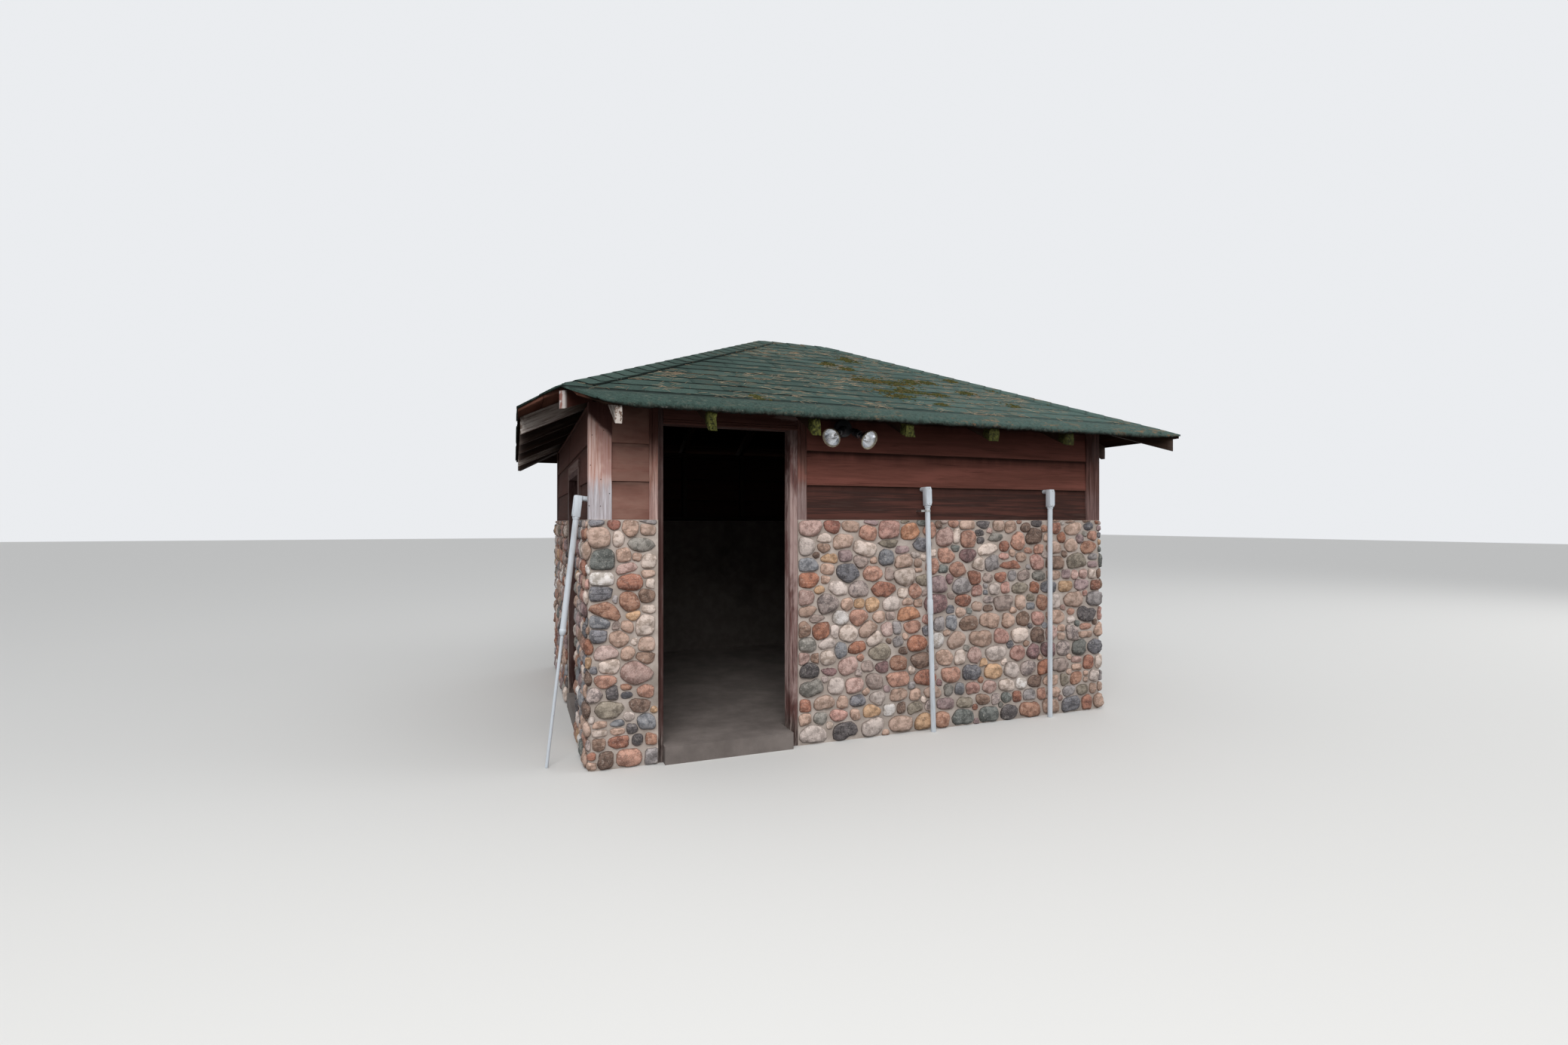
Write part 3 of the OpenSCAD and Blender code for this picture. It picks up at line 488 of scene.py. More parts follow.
def grooved_box(wide, thick, edge, cuts):
    """A rectangle with cut-off corners and V grooves, anticlockwise about its middle. Cuts gives, for a side
    numbered 0 to 3 from -y, the grooves' shares along it."""
    x, y = wide / 2, thick / 2
    points = []
    for side, start in enumerate(np.array([[-x, -y], [x, -y], [x, y], [-x, y]])):
        size = (wide, thick)[side % 2]
        way = np.array([[1, 0], [0, 1], [-1, 0], [0, -1]][side])
        inward = np.array([-way[1], way[0]])
        points.append(start + way * edge)
        for share in cuts.get(side, ()):
            middle = start + way * size * share
            points += [middle - way * 0.0032, middle + inward * 0.005, middle + way * 0.0032]
        points.append(start + way * (size - edge))
    return np.array(points)


def box_beams(name, node, material, slot, body):
    """Every solid of a CAD node that is a plain block, as a beam along its longest side with a slow sideways
    wander. Its grain value is (along, across, up) from a place of its own."""
    boards = Solid()
    for seed, (low, high) in enumerate(solids_of(node), len(name)):
        size = high - low
        long = int(np.argmax(size))
        wide, thick = (long + 1) % 3, (long + 2) % 3
        along, across, up = np.eye(3)[[long, wide, thick]]
        edge = min(0.0022, min(size[wide], size[thick]) * 0.3)
        outline = grooved_box(size[wide], size[thick], edge, GROOVES.get(node, {}).get(long, {}))
        t = np.linspace(0, size[long], max(2, int(size[long] / 0.08) + 1))[:, None]
        start = np.where(along > 0, low, (low + high) / 2)
        ring = (start + along * t)[:, None] + outline[:, :1] * across + outline[:, 1:] * up
        ring = ring + (noise_of(ring + seed, 0.5, seed) * 0.0006)[..., None] * (across + up)
        place = np.array([seed * 1.37 % 9, seed * 0.71 % 5, seed * 0.53 % 7])
        boards.tube(ring, grain=stack(t, outline[:, 0], outline[:, 1]) + place, board=0.4)
    boards.make(name, material, slot, node, body=body, smooth=35)


COURSE, BUTT, TIP, BACK = 0.215, 0.005, 0.016, 0.0245


def siding_boards(panel, turn, material, fade):
    """Lapped boards of one panel. Each course is a wedge: thick at its lower edge, which stands out over the
    board below, and thin at its top. Local x runs along the wall and y goes into it."""
    box = np.array([tuple(corner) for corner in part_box("siding_" + panel)])
    left, right = np.sort(spun(-turn, box[:, 0], box[:, 1], 0)[:, 0])
    low, high = box[:, 2]
    face = HALF_X if abs(turn) == 90 else HALF_Y
    x = np.linspace(left + 0.0004, right - 0.0004, int((right - left) / 0.05) + 2)
    solid = Solid()
    draw = np.random.default_rng(int(abs(left) * 1000))
    for k in range(4):
        foot, z1 = STONE_TOP + k * COURSE, min(STONE_TOP + (k + 1) * COURSE, high)
        if z1 < low + 0.02 or z1 - foot < 0.004:
            continue
        z0 = max(foot, low)
        y0, y1 = (BUTT + (TIP - BUTT) * ((z - foot) / COURSE) for z in (z0, z1))
        slope = [[y0 + (y1 - y0) * share, z0 + (z1 - z0) * share] for share in (0.33, 0.66)]
        outline = np.array([[BACK, z0], [y0 + 0.006, z0], [y0 + 0.0016, z0 + 0.0008], [y0, z0 + 0.004],
                            *slope, [y1, z1 - 0.001], [BACK, z1 + 0.003 * (k < 3)]])
        seed = draw.integers(1, 90)
        flat = stack(x[:, None], outline[:, 0], outline[:, 1])
        inward = noise_of(flat * [1, 0, 0.3] + seed, 0.9, seed) * 0.0012
        flat[:, 1:7, 1] += np.clip(inward[:, 1:7], -0.0012, 0.002)
        droop = noise_of(flat * [1, 0, 0] + seed, 0.35, seed + 1) * 0.0009
        flat[:, 1:4, 2] += np.abs(droop[:, 1:4]) + 0.0002
        solid.tube(spun(turn, flat[..., 0], flat[..., 1] - face, flat[..., 2]),
                   grain=flat[..., [0, 2, 1]] + [seed, seed * 0.7, 0], up=(flat[..., 2:] - z0) / COURSE,
                   board=draw.uniform(0, 1), fade=fade)
    solid.make("boards_" + panel, material, "stained_siding", "siding_" + panel, smooth=30)


# Roof

SLOPES = {"front": 0, "right": 90, "back": 180, "left": -90}


def sizes(turn):
    """Half the length of a slope's edge, and how far the edge stands from the building's middle."""
    return (EAVE_Y, EAVE_X) if abs(turn) == 90 else (EAVE_X, EAVE_Y)


def on_slope(turn, x, d, z):
    """A slope's own x along its edge and distance d in from the edge, turned into the building's frame."""
    return spun(turn, x, d - sizes(turn)[1], z)


def slope_ends(turn, d, cut, gap=0.0):
    """Left and right end of a slope's row at distance d: the hips, and the cut corner on front and left."""
    half, other = sizes(turn)
    left, right = -(half - gap - d), half - gap - d
    if turn == 0:
        left = np.maximum(left, -cut + other - d)
    if turn == -90:
        right = np.minimum(right, cut - other + d)
    return left, right


def deck_boards(material):
    """Rows of boards along each slope, cut along the hips, with narrow gaps between rows."""
    solid = Solid()
    draw = np.random.default_rng(21)
    row = 0.140 * COS_PITCH
    corner_z = np.array([0, 0, 1, 1]) * (DECK_THICK - 0.0012)
    for turn in SLOPES.values():
        d = SHINGLE_PAST
        while d < EAVE_Y - 0.02:
            top = min(d + row, EAVE_Y - 0.004) - 0.003
            corner_d = np.array([d, top, top, d])
            left, right = slope_ends(turn, corner_d, CUT_DECK, 0.001)
            x = left + (right - left) * np.linspace(0, 1, 26)[::-1, None]
            seed = int(draw.integers(1, 99))
            wander = np.abs(noise_of(stack(x, seed, 0), 0.6, seed) * 0.0007)
            corner_d = corner_d + wander * [1, 0, 0, 1]
            grain = stack(x, corner_d, corner_z) + [seed * 1.1, seed * 0.3, 0]
            rings = on_slope(turn, x, corner_d, DECK_FOOT + corner_d * RISE + corner_z)
            solid.tube(rings, grain=grain, board=draw.uniform(0, 1))
            d += row
    solid.make("roof_boards_laid", material, "rafter_wood", "roof_boards")


# Where a rafter's notch sits on the plate, and where a hip rafter's begins, in from the roof's edge
SEAT_START, SEAT_END, HIP_SEAT = 0.3965, 0.4302, 0.397

# A rafter's outline by side and height, and its first sections in from the tail
SIDE, LEVEL = np.array([-1, 1, 1, 1, -1, -1]), np.array([0, 0, 0.5, 1, 1, 0.5])
STATIONS = np.array([0.0, 0.004, 0.02, 0.038, 0.056, 0.075, 0.095, 0.12, 0.2, 0.28, 0.36, 0.375, 0.3751,
                     0.408, 0.4081, 0.5])


def rafter_rows(side, places, material, moss=(), bleached=()):
    """Rafters of one slope: upright cuts at the tail, a notch over the plate, and mitres against the hips.
    Moss gives how far it swells each rafter's tail."""
    turn = SLOPES[side]
    solid = Solid()
    draw = np.random.default_rng(131 + turn)
    gap = RAFTER_WIDE / 2
    top_d = EAVE_Y if abs(turn) == 90 else EAVE_Y - gap
    for number, x in enumerate(places):
        ends = np.minimum(top_d, sizes(turn)[0] - gap * math.sqrt(2) - np.abs(x + SIDE * gap))
        far = 0.5 + (ends - TAIL_BACK - 0.5) * np.linspace(0.1, 1, 8)[:, None]
        d = TAIL_BACK + np.concatenate([STATIONS[:, None] * np.ones(6), far])
        base = RAFTER_FOOT + d * RISE
        notch = (d > SEAT_START) & (d < SEAT_END)
        under = np.where(notch, np.maximum(base, PLATE_TOP + LAY_GAP), base)
        z = under + (base + RAFTER_DEEP - under) * LEVEL
        width = SIDE * (gap - 0.0015 * (LEVEL != 0.5))
        swell = (moss[number] if moss else 0.0) * np.exp(-((d - TAIL_BACK) / 0.07) ** 2)
        lumps = 0.6 + 1.3 * noise_of(stack(d, z + x, width), 0.035, 13)
        width = width + SIDE * swell * np.clip(lumps, 0, 1.3)
        width[0] *= 0.9
        z = z + swell * (0.35 if number > 2 else -1.2) * (LEVEL == 0)
        xx = x + width + noise_of(stack(d, z, x), 0.5, 9) * 0.0006
        z[0] += 0.004 * (0.5 - LEVEL)
        # pale marks the bleached rafters, whose grey is also painted lighter as light falling on them
        solid.tube(on_slope(turn, xx, d, z), grain=stack(d, xx - x, z - under) + [x * 3 + 5, x, 0],
                   tail=(1 - np.clip(d / 0.4, 0, 1))[..., None],
                   cut=np.exp(-np.maximum(d - TAIL_BACK, 0) / 0.02)[..., None],
                   moss=float(swell.max() > 0), pale=float(number in bleached), hip=0.0,
                   board=draw.uniform(0, 1))
    solid.make("rafters_" + side, material, "rafter_wood", side + "_rafters", smooth=35)


def hip_rafter_set(material):
    """The four rafters under the hips: planks on edge along the diagonals, upright at the ends."""
    solid = Solid()
    root2 = math.sqrt(2)
    slant = RISE / root2
    deep = RAFTER_HIGH / math.cos(math.atan(slant))
    top = RAFTER_FOOT + RAFTER_DEEP - RAFTER_WIDE / 2 * slant
    for sx, sy in ((-1, -1), (1, -1), (-1, 1), (1, 1)):
        cut_off = sx + sy == -2
        first = (CUT_HIP_BACK if cut_off else TAIL_BACK + RAFTER_WIDE / 2 / root2) * root2
        rest = np.linspace(first + 0.04, EAVE_Y * root2 - 0.001, 30)
        e = np.concatenate([[first, first + 0.003], rest])[:, None]
        z = top + e * slant - deep * (1 - LEVEL)
        z = np.where((e > HIP_SEAT * root2) & (LEVEL == 0), np.maximum(z, PLATE_TOP + LAY_GAP), z)
        side = SIDE * RAFTER_WIDE / 2
        across = side * np.where(e == first, 0.93, 1.0) + noise_of(stack(e, side, sx), 0.4, 3) * 0.0007
        ring = stack(sx * (EAVE_X - e / root2 - across / root2),
                     sy * (EAVE_Y - e / root2 + across / root2), z)
        grain = stack(e, across, z - top - e * slant) + [sx * 4 + 5, sy, 0]
        order = slice(None, None, sx * sy)
        solid.tube(ring[:, order], grain=grain[:, order],
                   tail=(1 - np.clip(e / root2 / 0.45, 0, 1))[..., None],
                   cut=np.exp(-(e - e[0]) / 0.006)[..., None],
                   moss=0.0, pale=0.0, hip=float(cut_off), board=0.5)
    solid.make("hip_rafters_set", material, "rafter_wood", "hip_rafters", smooth=35)


TAB, EXPOSURE = 0.305, 0.127 * COS_PITCH


def shingle_slope(side, material):
    """Courses of three-tab shingles: each tab is a thin wedge, thickest at its lower edge, with a wandering
    lower edge and a narrow slot to the next tab, and is cut along the hips."""
    turn = SLOPES[side]
    front = turn == 0
    solid = Solid()
    draw = np.random.default_rng(151 + turn)
    half = sizes(turn)[0]
    up = np.array([0.0, 0.012, 0.3, 0.65, 1.0, 1.18])[:, None]
    rise = np.array([0.92, 1.0, 0.95, 0.85, 0.72, 0.66])[:, None]
    lifted = np.array([1.0, 1.0, 0.4])[:, None]
    for k in range(int(np.ceil(EAVE_Y / EXPOSURE))):
        d0 = k * EXPOSURE + (0.075 if k and front else 0.0)
        shift = draw.uniform(0, TAB)
        if d0 > EAVE_Y - 0.02:
            break
        x = np.arange(-half - TAB + shift, half, TAB)[:, None]
        x = x + (0.0009 + np.linspace(0, 1, 8) * (TAB - 0.0018))
        seed = int(draw.integers(1, 999))
        edge = noise_of(stack(x, d0, 0), 0.2, seed) * 0.0075 + draw.normal(0, 0.0018, (len(x), 1))
        edge += noise_of(stack(x, d0, 5), 0.07, seed + 1) * 0.0030
        curl = np.clip(noise_of(stack(x, d0, 9), 0.13, seed + 2), 0, 1) * 0.0042 * (k > 0)
        high = EXPOSURE * (1.65 if front and k == 0 else 1.0)
        d = d0 + up * high + edge[:, None, :] * (1 - np.clip(up, 0, 1))
        if k == 0:
            d = np.maximum(d, 0.03 if front else 0.0)
        d = np.minimum(d, EAVE_Y - 0.0005 - 0.002 * (1.2 - up))
        left, right = slope_ends(turn, d, CUT_SHINGLE)
        x = np.broadcast_to(x[:, None, :], d.shape)
        keep = (x < right - 0.004).any((1, 2)) & (x > left + 0.004).any((1, 2))
        x, d, left, right, curl = (part[keep] for part in (x, d, left, right, curl))
        if not len(x):
            continue
        x = np.clip(x, left, np.maximum(right, left))
        base = SHINGLE_FOOT + d * RISE
        top = base + SHINGLE_THICK * rise * 0.98
        top[:, :3] += curl[:, None, :] * lifted
        rings = [on_slope(turn, x, d, top), on_slope(turn, x, d, base - 0.0004)[:, :, ::-1]]
        solid.tube(np.concatenate(rings, 2), tone=draw.uniform(0, 1, (len(x), 1, 1, 1)), lower=up[..., None])
    solid.make("shingles_laid_" + side, material, "shingle", "shingles_" + side, clipped=True)


def roof_height(x, y):
    """Height over a plan point: the distance in from the nearer roof edge times the slope, softly folded."""
    front, side = EAVE_Y - np.abs(y), EAVE_X - np.abs(x)
    nearer = (front + side - np.sqrt((front - side) ** 2 + 0.006 ** 2)) / 2
    return DECK_FOOT + nearer * RISE


def cap_line(solid, start, end, cut, seed, raised=0.0):
    """Caps bent over a hip or the ridge, from its lower end: each follows the roof's height on both sides of
    the fold and overlaps the next one up."""
    start, end = np.array(start), np.array(end)
    length = np.linalg.norm(end - start)
    along = (end - start) / length
    across = np.array([along[1], -along[0]])
    draw = np.random.default_rng(seed)
    count = max(2, int(length / 0.127))
    t0 = cut + (length - cut) * np.arange(count)[:, None, None] / count
    u = np.array([0.0, 0.03, 0.5, 1.0, 1.12])[:, None]
    v = np.array([-1, -0.7, -0.35, -0.12, -0.04, 0, 0.04, 0.12, 0.35, 0.7, 1.0])
    rim = v > 0.9
    skew = draw.normal(0, 0.004, (count, 1, 1))
    e = np.minimum(t0 + u * ((length - cut) / count) + skew * v * (u < 0.4), length)
    side = v * 0.124 - draw.normal(0, 0.0015, (count, 1, 1)) * (np.abs(v) > 0.9)
    plan = start + along * e[..., None] + across * side[..., None]
    x, y = plan[..., 0], plan[..., 1]
    lift = DECK_THICK + SHINGLE_THICK + 0.0052 * np.array([0.9, 1.0, 0.75, 0.4, 0.3])[:, None] + raised * rim
    top = stack(x, y, roof_height(x, y) + lift)
    under = stack(x, y, roof_height(x, y) + (DECK_THICK + SHINGLE_THICK * 0.5))
    # On raised caps the rim takes the dark lower-edge paint: a painted shadow line along the hip
    lower = u * (1 - rim * (raised > 0))
    solid.tube(np.concatenate([under, top[:, :, ::-1]], 2), tone=draw.uniform(0, 1, (count, 1, 1, 1)),
               lower=np.concatenate([lower, lower[:, ::-1]], 1)[..., None])


def caps(material):
    """Caps up the four hips and along the ridge."""
    solid = Solid()
    ridge = EAVE_X - EAVE_Y
    cut_first = (EAVE_X + EAVE_Y - CUT_SHINGLE) / math.sqrt(2) + 0.126
    for number, (sx, sy) in enumerate(((-1, -1), (1, -1), (1, 1), (-1, 1))):
        first, raised = (0.13, 0.0) if number else (cut_first, 0.007)
        cap_line(solid, (sx * EAVE_X, sy * EAVE_Y), (sx * ridge, 0), first, number + 3, raised)
    cap_line(solid, (-ridge - 0.02, 0), (ridge + 0.02, 0), 0.0, 9)
    solid.make("hip_caps_laid", material, "shingle", "hip_caps", clipped=True)


# The swollen edge's outline from its upper end over the lip to its back: distance in, height, share below
EDGE = np.array([[0.165, -0.0004, 0], [0.130, 0.0036, 0], [0.095, 0.0072, 0], [0.060, 0.0080, 0],
                 [0.034, 0.0034, 0], [0.014, -0.0030, 0], [0.0042, -0.0100, 0], [0.0012, -0.0200, 0.15],
                 [0.0010, -0.0285, 0.4], [0.0035, -0.0335, 0.8], [0.0100, -0.0360, 1], [0.0170, -0.0330, 1],
                 [0.0230, -0.0250, 1], [0.0340, -0.0150, 1], [0.060, -0.0100, 1]])


def swollen_edge(material):
    """The old front edge, bent down over the boards: a rolled outline carried along the edge, its lower lip
    ragged and lumpy from noise at three sizes, and drawn in so that it stays over the edge of the roof."""
    t = np.linspace(0, 1, 640)[::-1, None]
    d, high = EDGE[:, 0] + 0 * t, EDGE[:, 1]
    left, right = slope_ends(0, d, CUT_SHINGLE)
    wide = right - left - 0.005
    x = left + 0.003 + wide * t
    grown = ((np.clip(t * wide / 0.16, 0, 1) ** 0.7 * 0.7 + 0.3)
             * (np.clip((1 - t) * wide / 0.22, 0, 1) ** 0.7 * 0.75 + 0.25))
    z = SHINGLE_FOOT + SHINGLE_THICK + d * RISE + high * grown
    low = np.clip(-high / 0.028 - 0.15, 0, 1) * grown
    spot = stack(x, d, z)
    lump = sum(noise_of(spot, size, seed) * deep
               for size, seed, deep in ((0.14, 61, 0.0030), (0.030, 62, 0.0022), (0.012, 63, 0.0022)))
    z = z + lump * low * 1.5 - 0.004 * low * np.clip(noise_of(spot * [1, 0, 0], 0.8, 64), 0, 1)
    d = np.maximum(d + np.abs(lump) * low * (EDGE[:, 0] < 0.012), 0.0003)
    solid = Solid()
    solid.tube(on_slope(0, x, d, z), tone=0.8, lower=0.5, under=EDGE[:, 2:], lip=low[..., None])
    solid.make("shingle_edge_front", material, "shingle")


# Middles of the moss patches on the front slope: x, distance in from the edge, spread
MOSS = [(0.11, 0.84, 0.06), (0.22, 0.82, 0.09), (0.35, 0.80, 0.08), (0.13, 0.57, 0.05), (0.20, 0.47, 0.075),
        (0.35, 0.61, 0.08), (0.53, 0.88, 0.05), (0.68, 0.90, 0.05), (0.55, 0.57, 0.06), (0.88, 0.67, 0.05),
        (1.28, 0.83, 0.055), (0.43, 0.33, 0.03), (0.98, 1.02, 0.045), (0.02, 1.23, 0.05), (0.30, 1.44, 0.05),
        (0.13, 1.12, 0.04), (-0.90, 0.20, 0.03), (1.10, 0.42, 0.03), (1.55, 0.55, 0.04)]


def moss_cushions(material):
    """Low cushions of moss: small domes crowded along the courses of each patch, thinning outwards."""
    draw = np.random.default_rng(71)
    patches, count = np.array(MOSS), 2100
    which = draw.choice(len(patches), count, p=patches[:, 2] ** 1.5 / (patches[:, 2] ** 1.5).sum())
    offset = draw.normal(0, 1, (count, 2))
    middle = patches[which, :2] + offset * patches[which, 2:3] * [0.95, 0.42]
    course = np.round(middle[:, 1] / EXPOSURE) * EXPOSURE
    middle[:, 1] = np.where(draw.random(count) < 0.5, course + draw.normal(0.004, 0.010, count), middle[:, 1])
    left, right = slope_ends(0, middle[:, 1], CUT_SHINGLE, 0.15)
    on = (middle[:, 0] > left) & (middle[:, 0] < right)
    middle, offset = middle[on][:, None, None], offset[on]
    count = len(middle)
    size = draw.uniform(0.004, 0.0125, count) * (1.35 - 0.4 * np.clip(np.linalg.norm(offset, axis=1), 0, 2))
    size = size[:, None, None]
    out, up = np.array([[1.0, 0.86, 0.45], [-0.1, 0.42, 0.85]])[..., None]
    wave = 1 + draw.uniform(-0.3, 0.3, (count, 1, 7))
    x = middle[..., 0] + size * out * np.cos(circle(7)) * wave * 1.5
    d = middle[..., 1] + size * out * np.sin(circle(7)) * wave
    z = SHINGLE_FOOT + SHINGLE_THICK * 0.75 + d * RISE + size * up
    solid = Solid()
    solid.tube(on_slope(0, x, d, z), board=draw.uniform(0, 1, (count, 1, 1, 1)))
    solid.make("roof_moss", material, "shingle", smooth=70)


def needle_litter(material):
    """Dry needles on the front and left slopes: thin three-sided bars, slightly bent, mostly in tufts."""
    draw = np.random.default_rng(77)
    solid = Solid()
    t = np.linspace(-0.5, 0.5, 6)
    thick = 0.0008
    wide = (thick * (1 - 0.7 * (2 * np.abs(t)) ** 3))[:, None]
    corner = np.radians([90, 210, 330])
    for turn, count, reach in ((0, 1800, 1.9), (-90, 260, 1.5)):
        tuft = stack(draw.uniform(-reach, reach, count // 9), draw.uniform(0.05, 1.75, count // 9))
        which = draw.integers(0, len(tuft), count)
        middle = tuft[which] + draw.normal(0, 1, (count, 2)) * [0.075, 0.034]
        x, d = middle.T
        left, right = slope_ends(turn, d, CUT_SHINGLE)
        x, d = middle[(x > left + 0.09) & (x < right - 0.09) & (d > 0.04) & (d < 1.8)].T[..., None]
        heading = draw.normal(0.15, 0.62, x.shape)
        length = draw.uniform(0.04, 0.085, x.shape)
        along, off = t * length, draw.normal(0, 0.22, x.shape) * length * t ** 2
        x = x + along * np.cos(heading) - off * np.sin(heading)
        d = np.clip(d + (along * np.sin(heading) + off * np.cos(heading)) * 0.9, 0.004, EAVE_Y)[..., None]
        xx = x[..., None] - wide * np.sin(heading)[..., None] * np.cos(corner)
        dd = d + wide * np.cos(heading)[..., None] * np.cos(corner)
        zz = SHINGLE_FOOT + SHINGLE_THICK + thick + d * RISE + wide * np.sin(corner)
        solid.tube(on_slope(turn, xx, dd, zz), board=draw.uniform(0, 1, (len(x), 1, 1, 1)))
    solid.make("needle_litter", material, "shingle")


# Fittings: turned shapes and the boxes of the conduits

def turned(solid, profile, origin, axis, around, **values):
    """A closed turned shape: the profile's (distance along the axis, radius) carried round the axis."""
    along, radius = np.array(profile, float).T[..., None, None]
    axis = np.array(axis) / np.linalg.norm(axis)
    side = np.cross(axis, [0.0, 0.0, 1.0] if abs(axis[2]) < 0.9 else [0.0, 1.0, 0.0])
    side /= np.linalg.norm(side)
    turn = circle(around)[:, None]
    ring = np.cos(turn) * side + np.sin(turn) * np.cross(axis, side)
    solid.tube(origin + along * axis + np.maximum(radius, 1e-4) * ring, **values)


TOWARD = np.array([0, -1.0, 0])
LAMP_BOX = np.array([-0.282, -1.509, 1.965])
BOX_MIDDLE = LAMP_BOX + [0, -0.024, -0.014]

# Where each lampholder's knuckle is, from the box's middle, and where its lamp looks, as a turn from X
LAMPS = [((-0.008, -0.048, 0.008), -149), ((0.060, -0.016, 0.0), -74)]
LOOK_DOWN = math.radians(25)

LAMP_BOX_PROFILE = [(-0.008, 0.05), (-0.008, 0.054), (0.03, 0.0545), (0.034, 0.056), (0.038, 0.056),
                    (0.044, 0.054), (0.0475, 0.047), (0.048, 0.0)]
HOLDER = [(-0.008, 0.0), (-0.0075, 0.012), (-0.002, 0.0185), (0.01, 0.021), (0.022, 0.0215), (0.024, 0.0245),
          (0.028, 0.025), (0.034, 0.025), (0.036, 0.0235), (0.044, 0.0235), (0.046, 0.025), (0.068, 0.025),
          (0.073, 0.0245), (0.075, 0.0235), (0.075, 0.0)]
BOWL = [(0.0, 0.0), (0.0, 0.021), (0.016, 0.0212), (0.03, 0.029), (0.045, 0.0385), (0.058, 0.0462),
        (0.070, 0.0525), (0.080, 0.0565), (0.086, 0.0578), (0.0885, 0.0598), (0.0905, 0.0606),
        (0.0960, 0.0606), (0.0978, 0.0594), (0.0976, 0.0566), (0.0955, 0.0556), (0.0885, 0.0545),
        (0.080, 0.0515), (0.066, 0.0456), (0.052, 0.0380), (0.040, 0.028), (0.032, 0.016), (0.030, 0.0)]
FACE = [(0.0940, 0.0), (0.0938, 0.0553), (0.0962, 0.0555), (0.0985, 0.052), (0.1015, 0.040), (0.1035, 0.024),
        (0.1042, 0.010), (0.1043, 0.0)]
CORE = [(0.0325, 0.0), (0.0325, 0.0075), (0.050, 0.0085), (0.056, 0.005), (0.0565, 0.0)]


def outdoor_light(black, silver, glass, core, metal):
    """The round box with its cover, two arms and holders, and two reflector lamps with clear faces."""
    holder, screws, bowls, faces, cores = (Solid() for _ in range(5))
    turned(holder, LAMP_BOX_PROFILE, LAMP_BOX, TOWARD, 56)
    for dx, dz in ((-0.036, 0.0), (0.036, 0.0), (0.0, -0.04)):
        turned(screws, [(0, 0.0045), (0.0012, 0.0045), (0.0026, 0.003), (0.003, 0.0)],
               LAMP_BOX + [dx, -0.0445, dz], TOWARD, 16)
    past_lip = [[[float(along > 0.087)]] for along, _ in BOWL]
    for arm, turn in LAMPS:
        look = spun(turn, math.cos(LOOK_DOWN), 0.0, -math.sin(LOOK_DOWN))
        long = np.linalg.norm(arm)
        knuckle = BOX_MIDDLE + arm
        turned(holder, [(0, 0.012), (long, 0.0125), (long + 0.004, 0.011)], BOX_MIDDLE, arm, 28)
        turned(holder, HOLDER, knuckle, look, 40)
        foot = knuckle + look * 0.075
        turned(bowls, BOWL, foot, look, 64, lip=past_lip)
        turned(faces, FACE, foot, look, 64)
        turned(cores, CORE, foot, look, 24)
    holder.make("lamp_holder_body", black, "black_fitting", "lamp_holder", smooth=40)
    screws.make("lamp_box_screws", metal, "black_fitting", smooth=40)
    bowls.make("flood_lamp_reflectors", silver, "lamp_glass", "flood_lamps", smooth=50)
    faces.make("flood_lamp_faces", glass, "lamp_glass", smooth=50)
    cores.make("flood_lamp_cores", core, "lamp_glass", smooth=40)


def leaning(at, lean, turn):
    """Puts points from an elbow box's own frame, z up from its foot and -y off the wall, in the building."""
    tilt, spin = math.radians(lean), math.radians(turn)
    about_z = np.array([[math.cos(spin), -math.sin(spin), 0], [math.sin(spin), math.cos(spin), 0], [0, 0, 1]])
    about_y = np.array([[math.cos(tilt), 0, math.sin(tilt)], [0, 1, 0], [-math.sin(tilt), 0, math.cos(tilt)]])
    matrix = about_y @ about_z
    return lambda points: points @ matrix.T + np.array(at)


CONDUITS = {"middle": leaning((0.310, -1.579, 1.483), -1.8, 0),
            "right": leaning((1.320, -1.579, 1.483), 0, 0),
            "left": leaning((-1.884, -1.375, 1.405), 6.5, -90)}
PIPE = 0.0167
LEFT_PIPE_ENDS = -0.665
LEFT_REDUCER = [(-0.672, 0.0), (-0.672, 0.012), (-0.665, 0.0165), (-0.650, 0.0195), (-0.64, 0.0195),
                (-0.636, 0.017), (-0.636, 0.0)]
MIDDLE_COUPLING = [(-0.71, 0.0), (-0.71, 0.0185), (-0.705, 0.0197), (-0.62, 0.0197), (-0.615, 0.0185),
                   (-0.615, 0.0)]
SOCKET = [(-0.012, 0.0170), (-0.0118, 0.0196), (-0.009, 0.0202), (0.001, 0.0202), (0.002, 0.0)]


def elbow_box(solid, place):
    """A square box with rounded upright edges and softened ends: the corners' middles moved out by a round
    edge, drawn in a little at the foot and the top."""
    half, high, edge, soft = 0.022, 0.124, 0.007, 0.004
    turn = np.radians(np.arange(0, 360, 15) + 7.5)
    way = stack(np.cos(turn), np.sin(turn))
    outline = np.sign(way) * (half - edge) + edge * way
    levels = np.array([0, soft * 0.3, soft, high - soft, high - soft * 0.3, high])[:, None]
    drawn = 1 - np.array([soft, soft * 0.3, 0, 0, soft * 0.3, soft])[:, None] / half
    solid.tube(place(stack(outline[:, 0] * drawn, outline[:, 1] * drawn, levels)))


def cover(solid, place):
    """A plate with half-round ends, upright on the box: its front edge first, then the full outline back to
    the wall side, at three depths along y."""
    half, middle, reach = 0.0208, 0.062, 0.0602
    turn = circle(32)[::-1]
    wide = np.array([half - 0.0016, half, half])[:, None]
    ends = np.sign(np.sin(turn) + 1e-9) * (reach - half)
    depths = np.array([-0.0258, -0.0246, -0.0215])[:, None]
    solid.tube(place(stack(wide * np.cos(turn), depths, middle + wide * np.sin(turn) + ends)))


